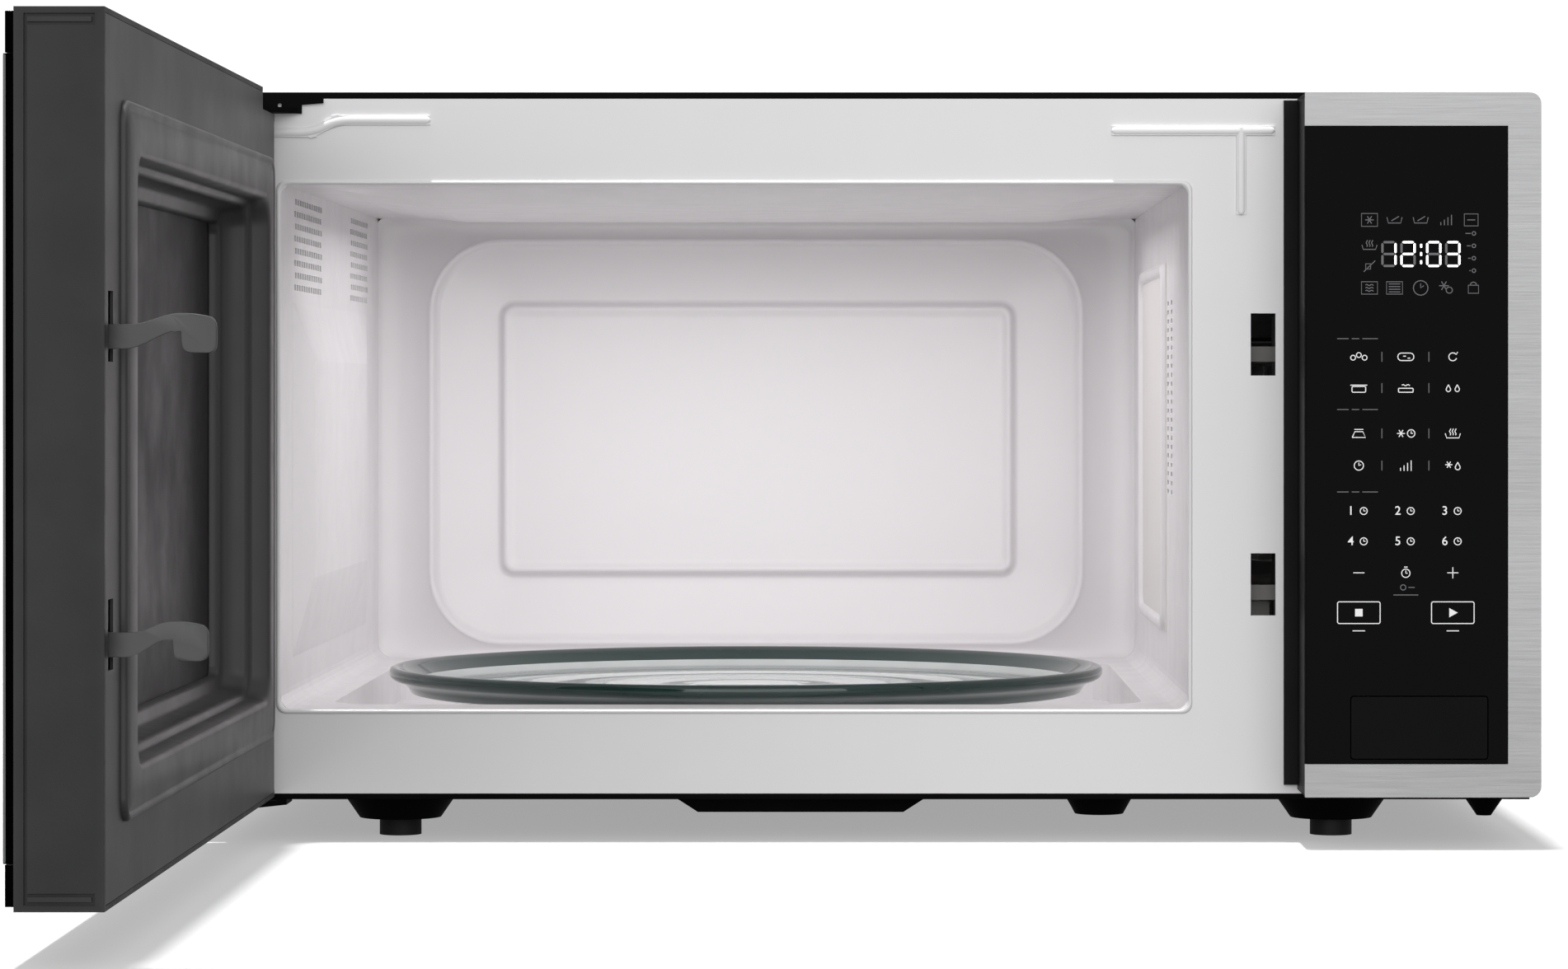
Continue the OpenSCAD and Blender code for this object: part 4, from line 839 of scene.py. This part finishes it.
def function_signs():
    """One plain sign for each function key, from left to right and top to bottom."""
    c = 0.0011
    return [
        lambda x, z: [circle(x - 0.0026, z - 0.0004, c), circle(x, z + 0.0008, c),
                      circle(x + 0.0026, z - 0.0004, c)],
        lambda x, z: [(rounded(((x - 0.0036, x + 0.0036), (z - 0.0017, z + 0.0017)), 0.0016, 5), True),
                      line((x - 0.0012, z + 0.0003), (x + 0.0001, z + 0.0003)),
                      line((x + 0.0008, z - 0.0006), (x + 0.002, z - 0.0006))],
        lambda x, z: [circle(x, z, 0.0018, 40, 340), line((x + 0.0006, z + 0.0018), (x + 0.0016, z + 0.0011),
                                                          (x + 0.0022, z + 0.0022))],
        lambda x, z: [outline(x, z - 0.0006, 0.0062, 0.0026, 0.0006),
                      line((x - 0.0038, z + 0.0013), (x + 0.0038, z + 0.0013))],
        lambda x, z: [outline(x, z - 0.0010, 0.0066, 0.0018, 0.0004), *waves(x, z + 0.0026, 1)],
        lambda x, z: [drop(x - 0.0020, z - 0.0006, 0.001), drop(x + 0.0020, z - 0.0006, 0.001)],
        lambda x, z: [line((x - 0.003, z - 0.0018), (x - 0.0018, z + 0.0008), (x + 0.0018, z + 0.0008),
                           (x + 0.003, z - 0.0018), (x - 0.003, z - 0.0018)),
                      line((x - 0.002, z + 0.0018), (x + 0.002, z + 0.0018))],
        lambda x, z: [*star(x - 0.0022, z, 0.0018), circle(x + 0.0024, z, 0.0017),
                      line((x + 0.0024, z + 0.001), (x + 0.0024, z), (x + 0.0032, z))],
        lambda x, z: steam(x, z + 0.0004),
        lambda x, z: [circle(x, z, 0.0021), line((x, z + 0.0013), (x, z), (x + 0.001, z + 0.0004))],
        lambda x, z: bars(x, z, 4),
        lambda x, z: [*star(x - 0.0018, z + 0.0004, 0.0016), drop(x + 0.0022, z - 0.0008, 0.0011)],
    ]


def figures(name, rows, size, y, finish):
    """Plain numerals set as flat text, each (character, x, z)."""
    bm = bmesh.new()
    for mark, x, z in rows:
        text = bpy.data.curves.new("numeral", "FONT")
        text.body = mark
        text.size = size
        text.align_x = "CENTER"
        text.align_y = "CENTER"
        text.offset = 0.00003
        holder = bpy.data.objects.new("numeral", text)
        flat = holder.to_mesh()
        flat.transform(Matrix.Translation((x, y, z)) @ Matrix.Rotation(math.radians(90), 4, "X"))
        bm.from_mesh(flat)
        holder.to_mesh_clear()
        bpy.data.objects.remove(holder)
    mesh = bpy.data.meshes.new(name)
    bm.to_mesh(mesh)
    bm.free()
    return piece(name, mesh, finish, "cabinet")


def key_legends():
    """Signs, numerals and rules printed on the glass for the touch keys."""
    y = GLASS_FRONT - 0.00006
    columns = [PANEL_MID + d * MM for d in (-27.3, -6.1, 15.1)]
    top = GLASS_Z[1]
    rows = [top - d * MM for d in (104.2, 118.3, 138.8, 153.3)]
    bright, faint, numerals = [], [], []
    for k, sign in enumerate(function_signs()):
        x, z = columns[k % 3], rows[k // 3]
        bright += sign(x, z)
        if k % 3 < 2:
            faint.append(line((x + 0.0104, z - 0.0022), (x + 0.0104, z + 0.0022)))
    for z in (top - 0.0960, top - 0.1280, top - 0.1652):
        for k, wide in enumerate((0.0052, 0.0034, 0.0070)):
            start = columns[0] - 0.0098 + (0, 0.0066, 0.0114)[k]
            faint.append(line((start, z), (start + wide, z)))
    for k in range(6):
        x, z = columns[k % 3], top - (0.1738 if k < 3 else 0.1875)
        numerals.append((str(k + 1), x - 0.0036, z))
        bright += [circle(x + 0.0022, z, 0.0016),
                   line((x + 0.0022, z + 0.0009), (x + 0.0022, z), (x + 0.003, z))]
    left, middle, right = columns
    z = top - 0.2017
    bright += [line((left - 0.0025, z), (left + 0.0025, z)), line((right - 0.0025, z), (right + 0.0025, z)),
               line((right, z - 0.0025), (right, z + 0.0025)), circle(middle, z - 0.0002, 0.0019),
               line((middle, z + 0.001), (middle, z - 0.0002), (middle + 0.0008, z - 0.0002)),
               line((middle - 0.0008, z + 0.0026), (middle + 0.0008, z + 0.0026))]
    faint += [circle(middle - 0.0012, z - 0.0066, 0.0012),
              line((middle + 0.0012, z - 0.0066), (middle + 0.0040, z - 0.0066)),
              line((middle - 0.0056, z - 0.0100), (middle + 0.0056, z - 0.0100))]
    z = top - 0.2197
    for x in (left, right):
        bright.append(outline(x, z, 0.0192, 0.0098, 0.0008))
        bright.append(line((x - 0.0028, z - 0.0082), (x + 0.0028, z - 0.0082)))
    inked("key_signs", bright, 0.00042, y, LEGEND_PAINTED_GLOW)
    inked("panel_rules", faint, 0.0004, y, FAINT_PAINTED_GLOW)
    figures("key_numerals", numerals, 0.0056, y, LEGEND_PAINTED_GLOW)
    half = 0.0017
    stop = [[(left - half, z - half), (left + half, z - half),
             (left + half, z + half), (left - half, z + half)]]
    start = [[(right - 0.0016, z - 0.0021), (right + 0.0022, z), (right - 0.0016, z + 0.0021)]]
    filled("stop_and_start_signs", stop + start, y, LEGEND_PAINTED_GLOW)


DISPLAY_MID = (PANEL_MID + 0.0004, GLASS_Z[1] - 0.0578)


# ---- Stage, light and camera ----

def studio_floor():
    """A pale floor that takes the shadows."""
    bpy.ops.mesh.primitive_plane_add(size=60, location=(0, 0, -0.0002))
    floor = bpy.context.object
    floor.name = "studio_floor"
    floor.visible_diffuse = False
    floor.visible_glossy = False
    f = Finish("studio_floor", Base_Color=(0.38, 0.38, 0.38), Roughness=0.9, Specular_IOR_Level=0.0,
               Emission_Color=(1, 1, 1), Emission_Strength=0.37)
    floor.data.materials.append(f.material)


def sky():
    """A studio dome, brighter above than below, that the camera sees as white."""
    world = bpy.data.worlds.new("studio")
    SCENE.world = world
    world.use_nodes = True
    tree = world.node_tree

    def add(kind, values, **settings):
        made = tree.nodes.new(kind)
        for key, value in settings.items():
            setattr(made, key, value)
        for key, value in values.items():
            if isinstance(value, bpy.types.NodeSocket):
                tree.links.new(value, made.inputs[key])
            else:
                made.inputs[key].default_value = value
        return made
    way = add("ShaderNodeTexCoord", {}).outputs["Generated"]
    height = add("ShaderNodeSeparateXYZ", {0: way}).outputs["Z"]
    dome = add("ShaderNodeMapRange", {"Value": height, "From Min": -0.6, "From Max": 0.8,
                                      "To Min": 0.16, "To Max": 0.72}).outputs[0]
    seen = add("ShaderNodeLightPath", {}).outputs["Is Camera Ray"]
    level = add("ShaderNodeMix", {0: seen, 2: dome, 3: 1.05}).outputs[0]
    tree.links.new(level, tree.nodes["Background"].inputs["Strength"])
    tree.nodes["Background"].inputs["Color"].default_value = (1, 1, 1, 1)


def lamp(name, place, aim, size, power, tall=None, colour=(1, 1, 1)):
    data = bpy.data.lights.new(name, "AREA")
    data.shape = "RECTANGLE"
    data.size = size
    data.size_y = tall or size
    data.energy = power
    data.color = colour
    obj = bpy.data.objects.new(name, data)
    obj.location = place
    obj.rotation_euler = (Vector(aim) - Vector(place)).to_track_quat("-Z", "Y").to_euler()
    SCENE.collection.objects.link(obj)
    return obj


def lights():
    """A small high sun for the shadows, a wide front box, and a fill under the cavity's ceiling."""
    data = bpy.data.lights.new("overhead", "SUN")
    data.energy = 5.0
    data.angle = math.radians(2.5)
    sun = bpy.data.objects.new("overhead", data)
    sun.rotation_euler = Vector((0.03, 0.0, -1.0)).to_track_quat("-Z", "Y").to_euler()
    SCENE.collection.objects.link(sun)
    lamp("front_box", (0.05, -3.3, 0.75), (0.05, 0, 0.55), 4.0, 72, 2.8)
    middle = ((CAVITY_X[0] + CAVITY_X[1]) / 2, (PLATE_FRONT + REAR_WALL) / 2)
    inside = lamp("cavity_fill", (*middle, CAVITY_TOP - 0.012), (*middle, CAVITY_FLOOR), 0.38, 0.56, 0.30)
    inside.visible_camera = False
    inside.visible_glossy = False


def camera():
    """A level view of the front, square to it, with its lens shifted to frame the open door."""
    data = bpy.data.cameras.new("view")
    data.sensor_width = 36
    data.lens = 111.03
    data.shift_x = -0.0521
    data.shift_y = -0.0573
    data.clip_end = 200
    obj = bpy.data.objects.new("view", data)
    obj.location = (0, PLATE_FRONT - 2.222, 0.2054)
    obj.rotation_euler = (math.radians(90), 0, 0)
    SCENE.collection.objects.link(obj)
    SCENE.camera = obj


SCENE.view_settings.view_transform = "Standard"
dress_cad_nodes()
cavity_rear()
plate_beads()
waveguide_frame()
glass_tray()
pane_edge_highlight()
choke_ring()
hooks()
clock_display()
key_legends()
studio_floor()
sky()
lights()
camera()
